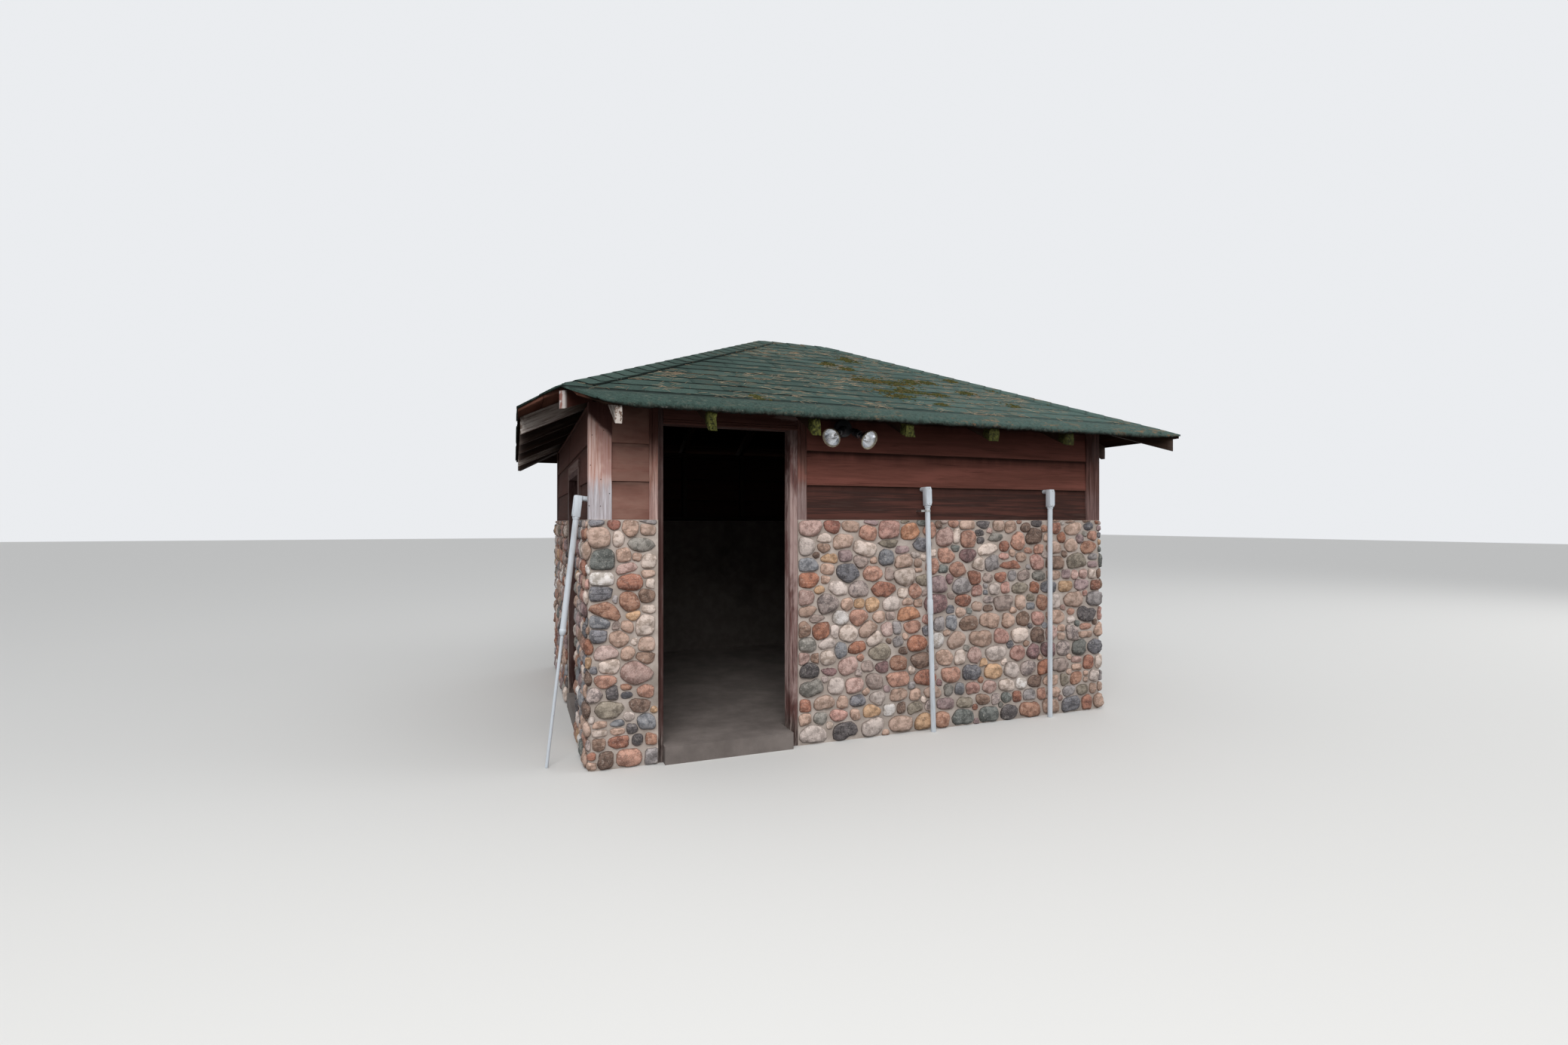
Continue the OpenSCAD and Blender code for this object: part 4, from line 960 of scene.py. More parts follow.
def conduits(plastic, metal):
    """Pipes, sockets, elbow boxes with screwed covers and back outlets, each conduit in its own lean."""
    pipes, boxes, covers, screws = (Solid() for _ in range(4))
    for name, place in CONDUITS.items():
        origin = place(np.zeros(3))
        up, away = (place(way) - origin for way in (np.array([0, 0, 1.0]), TOWARD))
        end = LEFT_PIPE_ENDS if name == "left" else -(origin[2] - 0.0006) / up[2]
        turned(pipes, [(end, PIPE), (-0.014, PIPE), (0.0, PIPE)], origin, up, 28)
        if name == "left":
            turned(pipes, [(-(origin[2] - 0.0015) / up[2], 0.009), (-0.66, 0.009)], origin, up, 20)
            turned(pipes, LEFT_REDUCER, origin, up, 28)
        if name == "middle":
            turned(pipes, MIDDLE_COUPLING, origin, up, 28)
        turned(boxes, SOCKET, origin, up, 32)
        elbow_box(boxes, place)
        turned(boxes, [(0, 0.015), (0.045, 0.015)], place(np.array([0, 0.018, 0.109])), -away, 24)
        cover(covers, place)
        for z in (0.012, 0.112):
            turned(screws, [(0, 0.0042), (0.0008, 0.0042), (0.0018, 0.003), (0.002, 0.0)],
                   place(np.array([0, -0.0252, z])), away, 16)
    pipes.make("conduit_pipes_body", plastic, "grey_conduit", "conduit_pipes", smooth=40)
    boxes.make("conduit_boxes_body", plastic, "grey_conduit", "conduit_boxes", smooth=35)
    covers.make("conduit_covers_body", plastic, "grey_conduit", "conduit_covers", smooth=35)
    screws.make("conduit_cover_screws", metal, "grey_conduit", smooth=40)


# Materials

class Wire:
    """A value in a material. Sums and products of wires and numbers add Math nodes."""

    def __init__(self, nodes, socket):
        self.nodes, self.socket = nodes, socket

    def math(self, operation, *values, clamp=False):
        return self.nodes.add("ShaderNodeMath", {"operation": operation, "use_clamp": clamp},
                              dict(enumerate((self, *values))))

    def __add__(self, other):
        return self.math("ADD", other)

    __radd__ = __add__

    def __mul__(self, other):
        return self.math("MULTIPLY", other)

    __rmul__ = __mul__

    def __sub__(self, other):
        return self.math("SUBTRACT", other)

    def __rsub__(self, other):
        return self.nodes.add("ShaderNodeMath", {"operation": "SUBTRACT"}, {0: other, 1: self})

    def step(self, low, high):
        """0 at low and beyond, 1 at high and beyond, smooth between; low may be the larger of the two."""
        return self.nodes.add("ShaderNodeMapRange", {"interpolation_type": "SMOOTHSTEP"},
                              {"Value": self, "From Min": low, "From Max": high})

    def clamp(self):
        return self.math("ADD", 0.0, clamp=True)


class Nodes:
    """A node tree under construction."""

    def __init__(self, tree):
        self.tree = tree

    def put(self, node, sockets):
        """Fills sockets with wires or values. A colour is a tuple as seen on a screen, or a linear array."""
        for key, value in sockets.items():
            socket = node.inputs[key]
            if isinstance(value, Wire):
                self.tree.links.new(value.socket, socket)
            elif socket.type == "RGBA":
                socket.default_value = (*(linear(value) if isinstance(value, tuple) else value), 1.0)
            else:
                socket.default_value = value

    def add(self, kind, settings=None, sockets=None, out=0):
        """Any node: its settings, then its sockets' values or wires."""
        node = self.tree.nodes.new(kind)
        for key, value in (settings or {}).items():
            setattr(node, key, value)
        self.put(node, sockets or {})
        return Wire(self, node.outputs[out])

    def shown(self):
        """1 for what the camera sees, also in a mirror or through glass, 0 for light falling on things."""
        rays = [self.add("ShaderNodeLightPath", out=name)
                for name in ("Is Camera Ray", "Is Glossy Ray", "Is Transmission Ray")]
        return (rays[0] + rays[1] + rays[2]).clamp()


class Finish(Nodes):
    """A material around one Principled shader, with a running colour that layers are painted over."""

    def __init__(self, name, **constants):
        self.material = bpy.data.materials.new(name)
        self.material.use_nodes = True
        super().__init__(self.material.node_tree)
        self.shade(**constants)

    def shade(self, **sockets):
        """Fills the shader's own sockets, their spaces written as underscores."""
        shader = self.tree.nodes["Principled BSDF"]
        self.put(shader, {key.replace("_", " "): value for key, value in sockets.items()})

    @functools.cached_property
    def place(self):
        """Object coordinates."""
        return self.add("ShaderNodeTexCoord", out="Object")

    @functools.cached_property
    def grain(self):
        """The piece's own coordinates along, across and up its grain."""
        return self.value("grain", "Vector")

    def value(self, name, kind="Fac"):
        """One of the piece's own values."""
        return self.add("ShaderNodeAttribute", {"attribute_name": name}, out=kind)

    def noise(self, vector, scale, detail=4.0, rough=0.55, warp=0.0):
        """Noise at one scale, or at a tuple of scales along the three axes."""
        if isinstance(scale, tuple):
            vector = self.add("ShaderNodeVectorMath", {"operation": "MULTIPLY"}, {0: vector, 1: scale})
            scale = 1.0
        return self.add("ShaderNodeTexNoise", {}, {"Vector": vector, "Scale": scale, "Detail": detail,
                                                  "Roughness": rough, "Distortion": warp})

    def axes(self, vector):
        split = self.add("ShaderNodeSeparateXYZ", {}, {0: vector}).socket.node
        return [Wire(self, socket) for socket in split.outputs]

    def inside(self, half_x, half_y):
        """1 within an upright box about the building's middle."""
        x, y, _ = (axis.math("ABSOLUTE") for axis in self.axes(self.place))
        return x.math("LESS_THAN", half_x) * y.math("LESS_THAN", half_y)

    def bump(self, height, strength, distance, under=None):
        sockets = {"Height": height, "Strength": strength, "Distance": distance}
        if under is not None:
            sockets["Normal"] = under
        return self.add("ShaderNodeBump", {}, sockets)

    def mix(self, share, first, second):
        """Two colours mixed by a share."""
        return self.add("ShaderNodeMix", {"data_type": "RGBA", "clamp_factor": True},
                        {0: share, 6: first, 7: second}, out=2)

    def paint(self, share, colour):
        """A layer over the running colour."""
        self.colour = self.mix(share, self.colour, colour)

    def done(self, **sockets):
        self.shade(Base_Color=self.colour, **sockets)
        return self.material


def cobble_finish():
    """Field stones: each its own rock, with speckles, bands and pits, and painted shade low on each dome."""
    f = Finish("field_stone", Roughness=0.85, Specular_IOR_Level=0.3)
    within, rock, second = f.value("within", "Vector"), f.value("rock", "Color"), f.value("second", "Color")
    speckled, banded = f.value("speckled"), f.value("banded")
    cloud = f.noise(within, 24.0, 5.0, 0.65)
    bands = f.noise(within, (6.0, 60.0, 30.0), 3.0, 0.5, 1.2)
    grain = f.noise(within, 190.0, 3.0, 0.7)
    f.colour = f.mix(cloud.step(0.44, 0.60) * 0.8, rock, second)
    f.paint(bands.step(0.52, 0.60) * banded * 0.85, second)
    f.paint(grain.step(0.52, 0.60) * (0.25 + 0.75 * speckled) * 0.75, second)
    pale = f.mix(0.45, rock, (246, 236, 224))
    f.paint(f.noise(within, 130.0, 3.0, 0.65).step(0.56, 0.64) * (0.35 + 0.65 * speckled) * 0.55, pale)
    f.paint(f.noise(within, 52.0, 3.0, 0.6).step(0.60, 0.70) * 0.5, pale)
    f.paint(f.noise(f.place, 3.2).step(0.52, 0.72) * 0.25, (92, 80, 72))
    # painted shade: each stone darker low on its dome, towards the mortar
    f.paint(f.value("high").step(0.5, 0.0) * 0.62, (70, 60, 54))
    bumps = f.bump(cloud * 0.8 + grain * 0.35 + bands * banded * 0.5, 0.8, 0.006)
    return f.done(Roughness=0.72 + grain * 0.2, Normal=bumps)


def mortar_finish():
    """Beige mortar with sand grains, stains and paler patches; painted dark grey inside the room as shade."""
    f = Finish("mortar", Roughness=0.95)
    patches, sand = f.noise(f.place, 9.0, 5.0, 0.6), f.noise(f.place, 520.0, 2.0, 0.7)
    f.colour = f.mix(patches.step(0.35, 0.7), (186, 172, 161), (216, 203, 193))
    f.paint(sand.step(0.55, 0.7) * 0.5, (132, 118, 108))
    f.paint(f.noise(f.place, 2.4).step(0.52, 0.74) * 0.5, (106, 98, 92))
    # painted shade: the room's inner faces dark
    f.paint(f.inside(STONE_X - 0.19, STONE_Y - 0.19) * 0.8, (44, 40, 38))
    return f.done(Normal=f.bump(sand * 0.5 + patches * 1.5, 0.5, 0.003))


def wood(name, light, dark, worn, wear):
    """Stained boards: fibres along the grain, darker streaks, cracks, and bare grey where the stain has gone.
    The finish is returned unfinished, with its bare places and its relief."""
    f = Finish(name, Roughness=0.75, Specular_IOR_Level=0.12)
    dark = linear(dark)
    fibre = f.noise(f.grain, (4.0, 90.0, 90.0), 5.0, 0.65, 0.3)
    streak = f.noise(f.grain, (1.2, 14.0, 14.0), 4.0, 0.6, 0.4)
    fine = f.noise(f.grain, (20.0, 420.0, 420.0), 3.0, 0.6)
    patch = f.noise(f.grain, (2.2, 6.6, 6.6), 5.0, 0.6, 0.5)
    f.colour = f.mix(streak.step(0.35, 0.68), dark, light)
    f.paint(fibre.step(0.5, 0.72) * 0.5, 0.55 * dark)
    f.paint(f.value("board") * 0.35, 0.8 * dark)
    f.bare = (patch + fibre * 0.35 + fine * 0.15).step(0.98 - wear * 0.55, 1.12 - wear * 0.45)
    f.paint(f.bare * 0.85, worn)
    cracks = f.noise(f.grain, (3.0, 150.0, 150.0), 2.0, 0.4).step(0.66, 0.72)
    f.paint(cracks * 0.6, 0.3 * dark)
    f.relief = f.bump(fibre * 0.6 + fine * 0.3 - cracks * 0.8, 0.45, 0.0016)
    return f


def plain_wood(*colours):
    f = wood(*colours)
    return f.done(Roughness=0.62 + f.bare * 0.25, Normal=f.relief)


def siding_finish():
    """Dark red-brown stain, faded in some panels, with painted shade and dirt streaks under each lap and
    painted shade under the eaves. The left wall is painted darker and the room's inside nearly black, both
    as shade.
    """
    f = wood("siding_stain", (148, 93, 82), (122, 77, 67), (152, 112, 100), 0.05)
    f.shade(Specular_IOR_Level=0.05)
    up, fade = f.value("up"), f.value("fade")
    x, _, z = f.axes(f.place)
    streaks = f.noise(f.grain, (1.8, 52.0, 52.0), 4.0, 0.6)
    cloud = f.noise(f.grain, (2.6, 6.5, 6.5), 4.0, 0.6)
    drips = f.noise(f.place, (9.0, 9.0, 1.4), 4.0, 0.6)
    # painted shade with dirt streaks: each board darker towards its top, under the next board's lap
    f.paint(up.step(0.55, 1.0) * (0.35 + 0.65 * drips.step(0.3, 0.65)) * 0.62, (42, 27, 24))
    # painted shadow line just under the lap above
    f.paint(up.step(0.86, 0.97) * 0.72, (26, 18, 16))
    f.paint(z.step(1.62, 1.56) * (0.62 + 0.38 * streaks.step(0.42, 0.6)) * (1 - 0.85 * fade), (68, 49, 45))
    # painted shade under the eaves: the upper boards darker
    f.paint(z.step(1.72, 1.98) * (0.04 + 0.16 * fade), (38, 25, 23))
    f.paint(fade * (0.30 + 0.5 * cloud.step(0.35, 0.65)), (161, 125, 112))
    f.paint(up.step(0.05, 0.0) * 0.4, (128, 92, 80))
    f.paint(streaks.step(0.60, 0.72) * z.step(1.7, 1.5) * 0.2, (140, 116, 106))
    # painted shade: the left wall's boards darker
    f.paint(x.step(-1.803, -1.813) * 0.8, (74, 48, 41))
    # painted shade: nearly black inside the room
    f.paint(f.inside(HALF_X - 0.0235, HALF_Y - 0.0235) * 0.75, (20, 16, 15))
    return f.done(Roughness=0.84 + f.bare * 0.16, Normal=f.relief)


def trim_finish():
    """Corner boards and casings: stain above, where the eaves shelter it, weathered pink and grey lower down.
    On the front-left corner board the edge of the shelter falls to the right."""
    f = wood("weathered_trim", (118, 80, 71), (80, 50, 44), (158, 132, 126), 0.42)
    x, y, z = f.axes(f.place)
    corner, left = x.step(-1.60, -1.66), x.step(-1.2, -1.3)
    wall = x.step(-1.79, -1.80) * y.step(-1.42, -1.36)
    height, across = z + 0.05 * f.noise(f.place, 12.0, 3.0) - 0.025, x + 1.775
    sheltered = ((height + across * 0.9).step(1.895, 1.935) * corner
                 + (height + 0.04).step(1.72, 1.92) * (1 - corner))
    fibres = f.noise(f.grain, (3.0, 80.0, 80.0), 4.0, 0.6)
    threads = f.noise(f.grain, (9.0, 260.0, 260.0), 4.0, 0.65).step(0.46, 0.62)
    pink = f.mix(fibres.step(0.42, 0.62), (240, 208, 198), (208, 162, 148))
    aged = f.mix(fibres.step(0.36, 0.66), (212, 173, 159), (172, 126, 112))
    aged = f.mix(threads * 0.55, aged, (112, 82, 76))
    f.paint((1 - sheltered) * (0.35 + 0.58 * left), f.mix(corner, aged, pink))
    red = (f.noise(f.place, (9.0, 9.0, 5.0), 3.0) + across * corner * 3.0).step(0.48, 0.64)
    f.paint(red * (1 - sheltered) * height.step(1.60, 1.66) * 0.55, (176, 116, 104))
    low = (height + 0.30 * fibres - 0.15).step(1.66, 1.52)
    bleached = f.mix(fibres.step(0.36, 0.60), (218, 216, 222), (190, 184, 188))
    f.paint(low * (0.18 + 0.72 * corner), f.mix(threads * 0.4, bleached, (120, 112, 114)))
    f.paint(sheltered * corner * 0.5, (70, 44, 42))
    f.paint(x.step(1.6, 1.7) * 0.62, f.mix(fibres.step(0.4, 0.6), (118, 84, 78), (62, 41, 38)))
    # painted shade: the side door's casing on the left wall darker, as the siding there
    f.paint(wall * 0.8, (70, 50, 44))
    return f.done(Roughness=0.85 + f.bare * 0.15, Normal=f.relief)


def door_finish():
    """Door frames: pinkish and worn on the right of the front doorway, dark on the left and above, grey at
    the rotted foot."""
    f = wood("door_frame_stain", (141, 103, 98), (92, 62, 58), (196, 170, 164), 0.6)
    x, _, z = f.axes(f.place)
    above = (z + 0.2 * f.noise(f.place, 9.0) - 0.1).step(1.72, 1.94)
    f.paint((1 - x.step(-1.2, -1.1) * (1 - above * 0.75)) * 0.8, (62, 40, 36))
    foot = (z + 0.16 * f.noise(f.place, (40.0, 40.0, 6.0)) - 0.08).step(0.24, 0.10)
    rot = f.mix(f.noise(f.place, (90.0, 90.0, 9.0)).step(0.4, 0.6), (134, 122, 116), (52, 42, 38))
    f.paint(foot * 0.85, rot)
    return f.done(Roughness=0.85 + f.bare * 0.15, Normal=f.relief)


def rafter_finish():
    """Rafters: painted nearly black as shade; bare grey, lightened as painted light, where pale is 1;
    pink and white on the cut-off hip rafter's end, and green moss on the cut ends of the mossy ones."""
    # painted shade: dark base colours stand for the shade under the eaves
    f = wood("rafter_lumber", (74, 55, 44), (42, 30, 25), (96, 86, 78), 0.22)
    tail, cut, moss, pale, hip = (f.value(name) for name in ("tail", "cut", "moss", "pale", "hip"))
    fibres = f.noise(f.grain, (5.0, 60.0, 60.0), 4.0, 0.65)
    grey = f.mix(fibres.step(0.38, 0.60), (226, 218, 210), (150, 134, 124))
    # bleached grey, also painted lighter as light falling on these rafters
    f.paint((tail + fibres * 0.3).step(0.12, 0.52) * pale * 0.92, grey)
    rot = f.mix(f.noise(f.place, 60.0, 4.0, 0.6).step(0.46, 0.58), (206, 196, 188), (104, 80, 64))
    f.paint(cut * (0.30 + 0.6 * pale), f.mix(pale, (140, 126, 120), rot))
    edge = f.axes(f.grain)[1].step(-1.002, -0.994)
    whitish = (f.noise(f.place, 40.0, 4.0, 0.6) + edge * 0.2).step(0.50, 0.66)
    end = f.mix(whitish, (162, 114, 104), (218, 208, 204))
    f.paint(hip * 0.8, f.mix(cut.step(0.3, 0.7), (80, 44, 38), end))
    growth = f.noise(f.place, 34.0, 5.0, 0.65) * 1.1 + cut * 0.3 + tail.step(0.60, 0.84) * 0.76
    growth = growth.step(0.94, 1.14) * moss
    tint = f.noise(f.place, 75.0, 4.0, 0.6)
    green = f.mix(tint.step(0.36, 0.52), (34, 36, 20), (84, 85, 42))
    green = f.mix(tint.step(0.56, 0.66), green, (116, 118, 60))
    f.paint(growth, f.mix(f.axes(f.place)[0].step(-0.6, 1.4) * 0.6, green, (40, 38, 20)))
    fluff = f.bump(f.noise(f.place, 160.0, 3.0, 0.7) * growth, 1.0, 0.010, f.relief)
    return f.done(Roughness=0.8 + growth * 0.15, Normal=fluff)


def deck_finish():
    """Roof boards: painted nearly black as shade over the room, with reddish ends at the cut-off corner."""
    f = wood("roof_boards", (66, 50, 40), (40, 29, 24), (70, 58, 50), 0.2)
    f.shade(Specular_IOR_Level=0.0)
    x, y, _ = f.axes(f.place)
    f.paint(x.step(-1.84, -1.90) * y.step(-1.1, -1.4) * 0.6, (150, 102, 86))
    # painted shade: nearly black over the room
    f.paint(f.inside(1.80, 1.50) * 0.75, (14, 11, 10))
    return f.done(Roughness=0.9 + f.bare * 0.1, Normal=f.relief)


def shingle(name, roughness):
    """Dark green mineral grains with lichen, tabs of slightly different tone, dry needles in thin lines,
    and painted shade along each tab's lower edge and just under the course above.
    The finish is returned unfinished, with its grains."""
    f = Finish(name, Roughness=roughness, Specular_IOR_Level=0.12)
    x, lower = f.axes(f.place)[0], f.value("lower")
    f.grains = f.noise(f.place, 900.0, 2.0, 0.6)
    cloud = f.noise(f.place, 3.5, 5.0, 0.6)
    f.colour = f.mix(f.value("tone") * 0.6 + cloud * 0.4, (46, 63, 58), (70, 91, 84))
    f.paint(f.grains.step(0.55, 0.68) * 0.5, (106, 120, 111))
    f.paint(f.noise(f.place, 600.0, 2.0).step(0.58, 0.7) * 0.5, (28, 38, 34))
    # painted shade along each tab's lower edge
    f.paint(lower.step(0.05, 0.015) * 0.9, (14, 18, 16))
    # painted shade where the course above covers the tab
    f.paint(lower.step(0.86, 0.99) * 0.85, (18, 23, 21))
    f.paint(f.noise(f.place, 85.0, 4.0, 0.7).step(0.46, 0.62) * 0.4, (34, 44, 41))
    f.paint(x.step(-1.4, 1.4) * 0.34, (104, 128, 122))
    litter = f.noise(f.place, (9.0, 34.0, 9.0), 6.0, 0.78).step(0.53, 0.61)
    spread = (cloud * 0.6 + f.noise(f.place, 1.3) * 0.4).step(0.44, 0.58) * x.step(-1.6, 0.0)
    f.paint(litter * spread * 0.8, (148, 116, 86))
    f.paint(cloud.step(0.56, 0.75) * f.noise(f.place, 60.0).step(0.5, 0.62) * 0.5, (122, 136, 126))
    return f


def shingle_finish():
    f = shingle("green_shingle", 0.92)
    return f.done(Normal=f.bump(f.grains + f.noise(f.place, 30.0, 3.0) * 2, 0.4, 0.0016))


def edge_finish():
    """The swollen edge: green grains turning to grey lichen, with dark gaps and pale crust along the lip, and
    painted shade on the lip and the underside.
    """
    f = shingle("swollen_shingle_edge", 0.95)
    lip = f.value("lip")
    f.paint((f.noise(f.place, 26.0, 5.0, 0.7) + lip * 0.10).step(0.54, 0.64) * 0.45, (104, 110, 100))
    crust = f.noise(f.place, (34.0, 34.0, 68.0), 4.0, 0.7) + lip * 0.16
    f.paint(crust.step(0.70, 0.80) * 0.8, (158, 152, 146))
    f.paint(f.noise(f.place, 44.0, 4.0, 0.7).step(0.48, 0.58) * (0.25 + lip * 0.5), (20, 21, 18))
    # painted shade: the lip and the roll's underside dark
    f.paint((lip * 0.62 + f.value("under")).clamp() * 0.9, (24, 22, 18))
    return f.done(Normal=f.bump(f.noise(f.place, 160.0, 4.0, 0.7) + f.grains * 0.4, 0.8, 0.004))


def moss_finish():
    f = Finish("moss", Roughness=1.0, Specular_IOR_Level=0.1)
    f.colour = f.mix(f.value("board") * 0.6 + f.noise(f.place, 30.0) * 0.4, (50, 58, 30), (108, 102, 56))
    f.paint(f.noise(f.place, 16.0, 4.0, 0.6).step(0.50, 0.64) * 0.6, (122, 92, 58))
    f.paint(f.noise(f.place, 110.0, 4.0, 0.7).step(0.48, 0.60) * 0.7, (32, 40, 22))
    return f.done(Normal=f.bump(f.noise(f.place, 240.0, 4.0, 0.7), 1.0, 0.008))


def needle_finish():
    f = Finish("dry_needles", Roughness=0.7)
    f.colour = f.mix(f.value("board"), (136, 106, 78), (206, 182, 150))
    f.paint(f.noise(f.place, 200.0).step(0.5, 0.8) * 0.5, (110, 80, 52))
    return f.done()


def concrete_finish():
    f = Finish("worn_concrete", Roughness=0.9)
    cloud, sand = f.noise(f.place, 5.0, 5.0, 0.6), f.noise(f.place, 240.0, 3.0, 0.7)
    f.colour = f.mix(cloud.step(0.28, 0.78), (114, 105, 100), (142, 132, 126))
    f.paint(sand.step(0.55, 0.7) * 0.4, (74, 68, 64))
    return f.done(Normal=f.bump(sand * 0.6 + cloud, 0.4, 0.003))


def enamel_finish():
    f = Finish("black_enamel", Roughness=0.4)
    chalk = f.noise(f.place, 60.0)
    f.colour = f.mix(chalk.step(0.5, 0.75) * 0.5, (20, 21, 24), (58, 58, 62))
    return f.done(Roughness=0.32 + chalk * 0.3)


def silver_finish():
    """Mirrored bowls with a warm grey lip."""
    f = Finish("lamp_silver", Metallic=1.0)
    waves, lip = f.noise(f.place, 45.0, 3.0), f.value("lip")
    f.colour = f.mix(waves.step(0.4, 0.7), (228, 231, 236), (250, 251, 252))
    f.paint(lip, f.mix(waves.step(0.4, 0.6), (160, 146, 122), (216, 204, 180)))
    return f.done(Metallic=1 - lip, Roughness=0.18 + waves * 0.14 + lip * 0.2)


def glass_finish():
    f = Finish("lamp_face_glass", Roughness=0.04, IOR=1.45, Alpha=0.06)
    smear = f.noise(f.place, 70.0, 3.0)
    f.colour = f.mix(smear, (222, 226, 232), (244, 245, 246))
    return f.done(Alpha=0.03 + smear.step(0.45, 0.75) * 0.07)


def core_finish():
    f = Finish("lamp_core", Roughness=0.5)
    f.colour = f.mix(f.noise(f.place, 90.0), (206, 204, 200), (236, 234, 230))
    return f.done()


def plastic_finish():
    """Grey conduit, dirty in upright streaks, with dark specks low down."""
    f = Finish("conduit_plastic", Roughness=0.45)
    dirt = f.noise(f.place, (30.0, 30.0, 5.0), 4.0, 0.6)
    f.colour = f.mix(dirt.step(0.45, 0.75) * 0.55, (226, 233, 240), (176, 181, 184))
    specks = f.add("ShaderNodeTexVoronoi", {}, {"Vector": f.place, "Scale": 34.0}, out="Distance")
    f.paint(specks.step(0.09, 0.05) * f.axes(f.place)[2].step(1.25, 0.9) * 0.5, (58, 54, 48))
    return f.done(Roughness=0.38 + dirt * 0.25, Normal=f.bump(dirt, 0.12, 0.001))


def iron_finish():
    f = Finish("rusty_iron", Metallic=0.7)
    rust = f.noise(f.place, 60.0, 5.0, 0.7)
    f.colour = f.mix(rust.step(0.42, 0.62), (46, 42, 40), (118, 70, 44))
    return f.done(Metallic=0.75 - rust.step(0.42, 0.62) * 0.7, Roughness=0.5 + rust * 0.4,
                  Normal=f.bump(rust, 0.5, 0.001))


def zinc_finish():
    f = Finish("screw_zinc", Metallic=1.0)
    dull = f.noise(f.place, 200.0)
    f.colour = f.mix(dull, (150, 150, 148), (196, 196, 194))
    return f.done(Roughness=0.3 + dull * 0.25)


# Putting it together

siding = siding_finish()
for panel, turn, fade in (("front_left", 0, 1.0), ("front_right", 0, 0.0), ("left_front", -90, 0.1),
                          ("left_back", -90, 0.1), ("over_side_door", -90, 0.1), ("back", 180, 0.4),
                          ("right", 90, 0.5)):
    siding_boards(panel, turn, siding, fade)

stone_walls(cobble_finish(), mortar_finish())

trim, door_wood, iron, zinc = trim_finish(), door_finish(), iron_finish(), zinc_finish()
plank_wood = plain_wood("door_plank_stain", (104, 62, 52), (64, 38, 34), (140, 104, 92), 0.3)
inner_wood = plain_wood("rough_lumber", (62, 48, 38), (36, 27, 22), (66, 56, 48), 0.2)
for name, node, material, slot, body in (
        ("corner_boards_cut", "corner_boards", trim, "weathered_trim", "building"),
        ("front_casing_cut", "front_door_casing", trim, "weathered_trim", "building"),
        ("side_casing_cut", "side_door_casing", trim, "weathered_trim", "building"),
        ("front_jambs_cut", "front_door_jambs", door_wood, "door_frame", "building"),
        ("front_header_cut", "front_door_header", door_wood, "door_frame", "building"),
        ("side_frame_cut", "side_door_frame", door_wood, "door_frame", "building"),
        ("side_stops_cut", "side_door_stops", door_wood, "door_frame", "building"),
        ("side_planks_cut", "side_door_planks", plank_wood, "door_planks", "side_door"),
        ("side_ledges_cut", "side_door_ledges", plank_wood, "door_planks", "side_door"),
        ("sill_plates_cut", "sill_plates", inner_wood, "frame_wood", "building"),
        ("studs_cut", "wall_studs", inner_wood, "frame_wood", "building"),
        ("top_plates_cut", "top_plates", inner_wood, "frame_wood", "building"),
        ("ridge_board_cut", "ridge_board", inner_wood, "rafter_wood", "building")):
    box_beams(name, node, material, slot, body)

# Nails of the front-left corner board, as x and height
nails = Solid()
for x, z in ((-1.812, 1.857), (-1.820, 1.690), (-1.765, 1.613), (-1.828, 1.466), (-1.767, 1.465),
             (-1.718, 1.535), (-1.750, 1.886)):
    turned(nails, [(0.0012, 0.00192), (0.0005, 0.0032), (-0.002, 0.0032)], (x, -HALF_Y, z), TOWARD, 6)
nails.make("corner_board_nails", iron, "weathered_trim", smooth=50)

rafter_wood = rafter_finish()
places = [-1.22 + 0.61 * k for k in range(5)]
rafter_rows("front", [-1.715, *places], rafter_wood, (0, 0.011, 0.010, 0.018, 0.020, 0.018), bleached=(0,))
rafter_rows("back", [-x for x in places], rafter_wood)
rafter_rows("left", places, rafter_wood, bleached=(0, 4))
rafter_rows("right", places, rafter_wood)
hip_rafter_set(rafter_wood)
deck_boards(deck_finish())
green = shingle_finish()
for side in SLOPES:
    shingle_slope(side, green)
caps(green)
swollen_edge(edge_finish())
moss_cushions(moss_finish())
needle_litter(needle_finish())

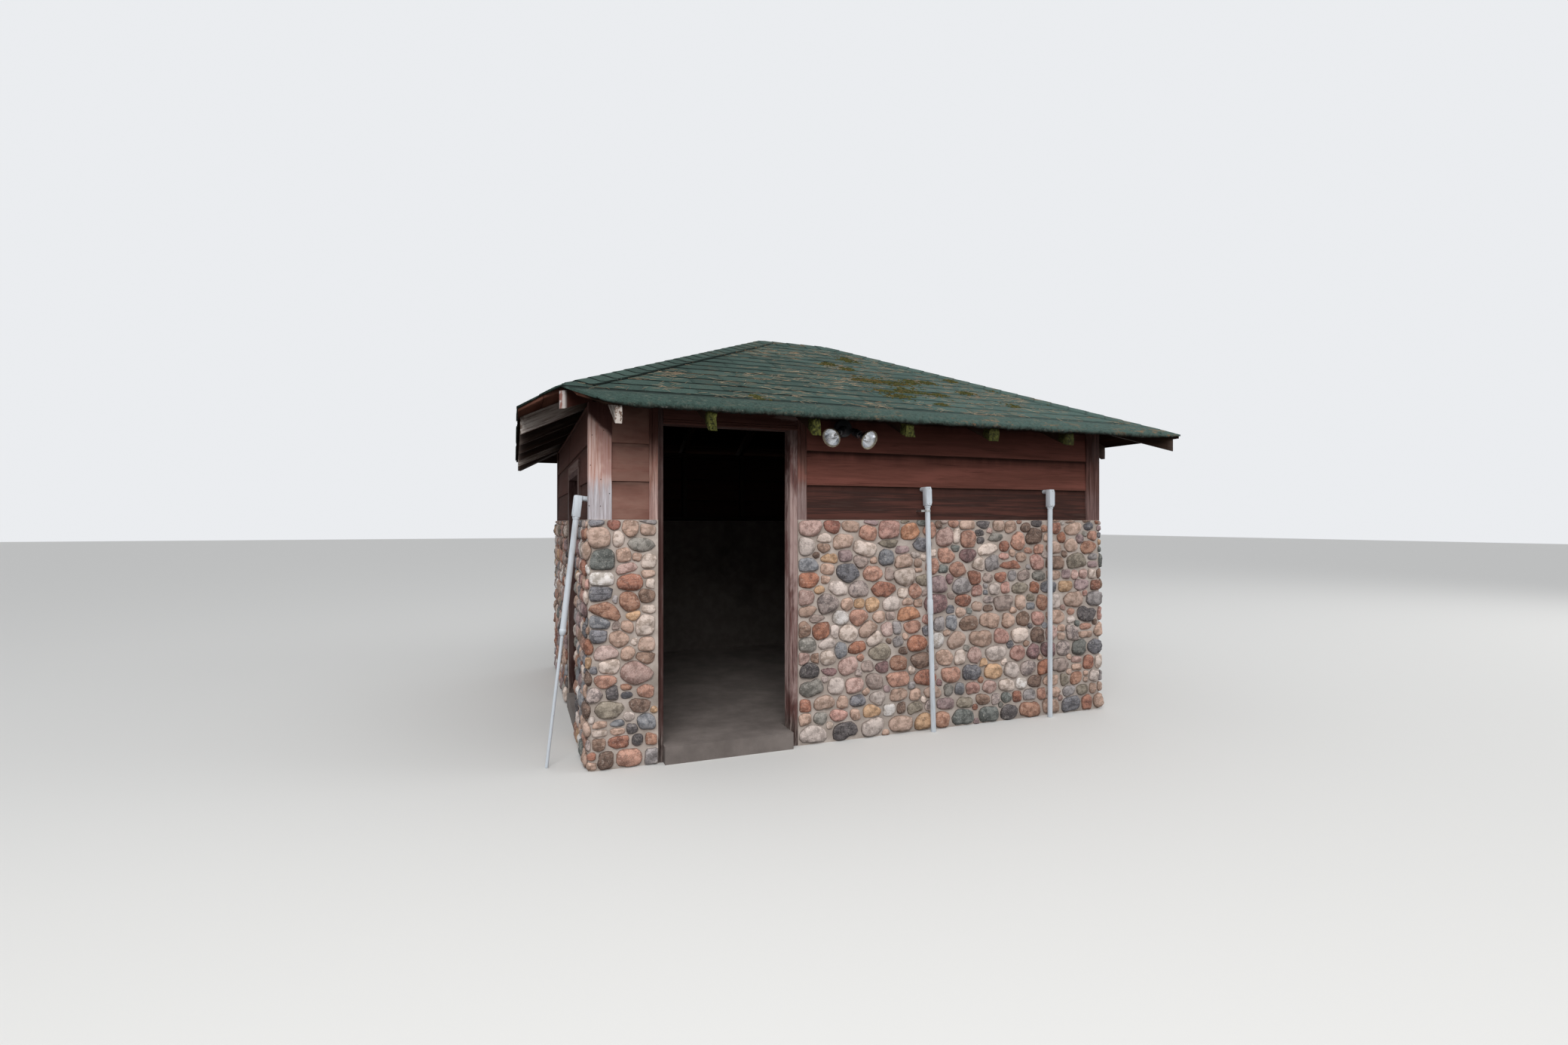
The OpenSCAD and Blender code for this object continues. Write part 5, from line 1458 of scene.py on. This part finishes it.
outdoor_light(enamel_finish(), silver_finish(), glass_finish(), core_finish(), zinc)
conduits(plastic_finish(), zinc)
for node, material in (("side_door_straps", iron), ("side_door_pintles", iron), ("conduit_strap", zinc),
                       ("floor_slab", concrete_finish())):
    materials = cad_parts[node].data.materials
    materials.clear()
    materials.append(material)


# Floor, light and camera

def linked(name, data):
    """A new object of the scene."""
    thing = bpy.data.objects.new(name, data)
    bpy.context.scene.collection.objects.link(thing)
    return thing


def studio_floor():
    """A wide pale floor that shows pale to the camera and darker to the light that bounces off it."""
    mesh = bpy.data.meshes.new("studio_floor")
    wide = 60.0
    corners = [(-wide, -wide, 0), (wide, -wide, 0), (wide, wide, 0), (-wide, wide, 0)]
    mesh.from_pydata(corners, [], [(0, 1, 2, 3)])
    f = Finish("pale_floor", Roughness=0.9)
    f.colour = f.mix(f.shown(), (84, 82, 80), (228, 227, 224))
    mesh.materials.append(f.done())
    linked("studio_floor", mesh)


def soft_world():
    """A pale even sky: brighter to the camera and in reflections than to the surfaces it lights."""
    world = bpy.data.worlds.new("studio")
    bpy.context.scene.world = world
    world.use_nodes = True
    nodes = Nodes(world.node_tree)
    nodes.put(nodes.tree.nodes["Background"],
              {"Color": (238, 240, 243), "Strength": nodes.shown() * 0.25 + 0.72})


def area_light(name, place, target, size, power):
    """A square soft light at a place, looking at a target."""
    data = bpy.data.lights.new(name, "AREA")
    data.size, data.energy = size, power
    light = linked(name, data)
    way = np.subtract(target, place)
    light.location = place
    tilt = math.acos(-way[2] / np.linalg.norm(way))
    light.rotation_euler = (tilt, 0, math.atan2(way[1], way[0]) - math.pi / 2)


def photo_camera():
    """A level wide camera, left of the building and in front of it, at a standing person's chest."""
    data = bpy.data.cameras.new("camera")
    data.sensor_width, data.lens = 36.0, 16.0
    camera = linked("camera", data)
    camera.location = (-2.2125, -5.495, 1.374)
    camera.rotation_euler = (math.radians(90), 0, math.radians(-21.16))
    bpy.context.scene.camera = camera


studio_floor()
soft_world()
area_light("key", (-3.5, -8.0, 6.5), (0, 0, 1.0), 5.0, 420)
area_light("side", (12.8, -5.1, 7.7), (0, 0, 1.2), 8.5, 462)
photo_camera()
bpy.context.scene.view_settings.view_transform = "Standard"
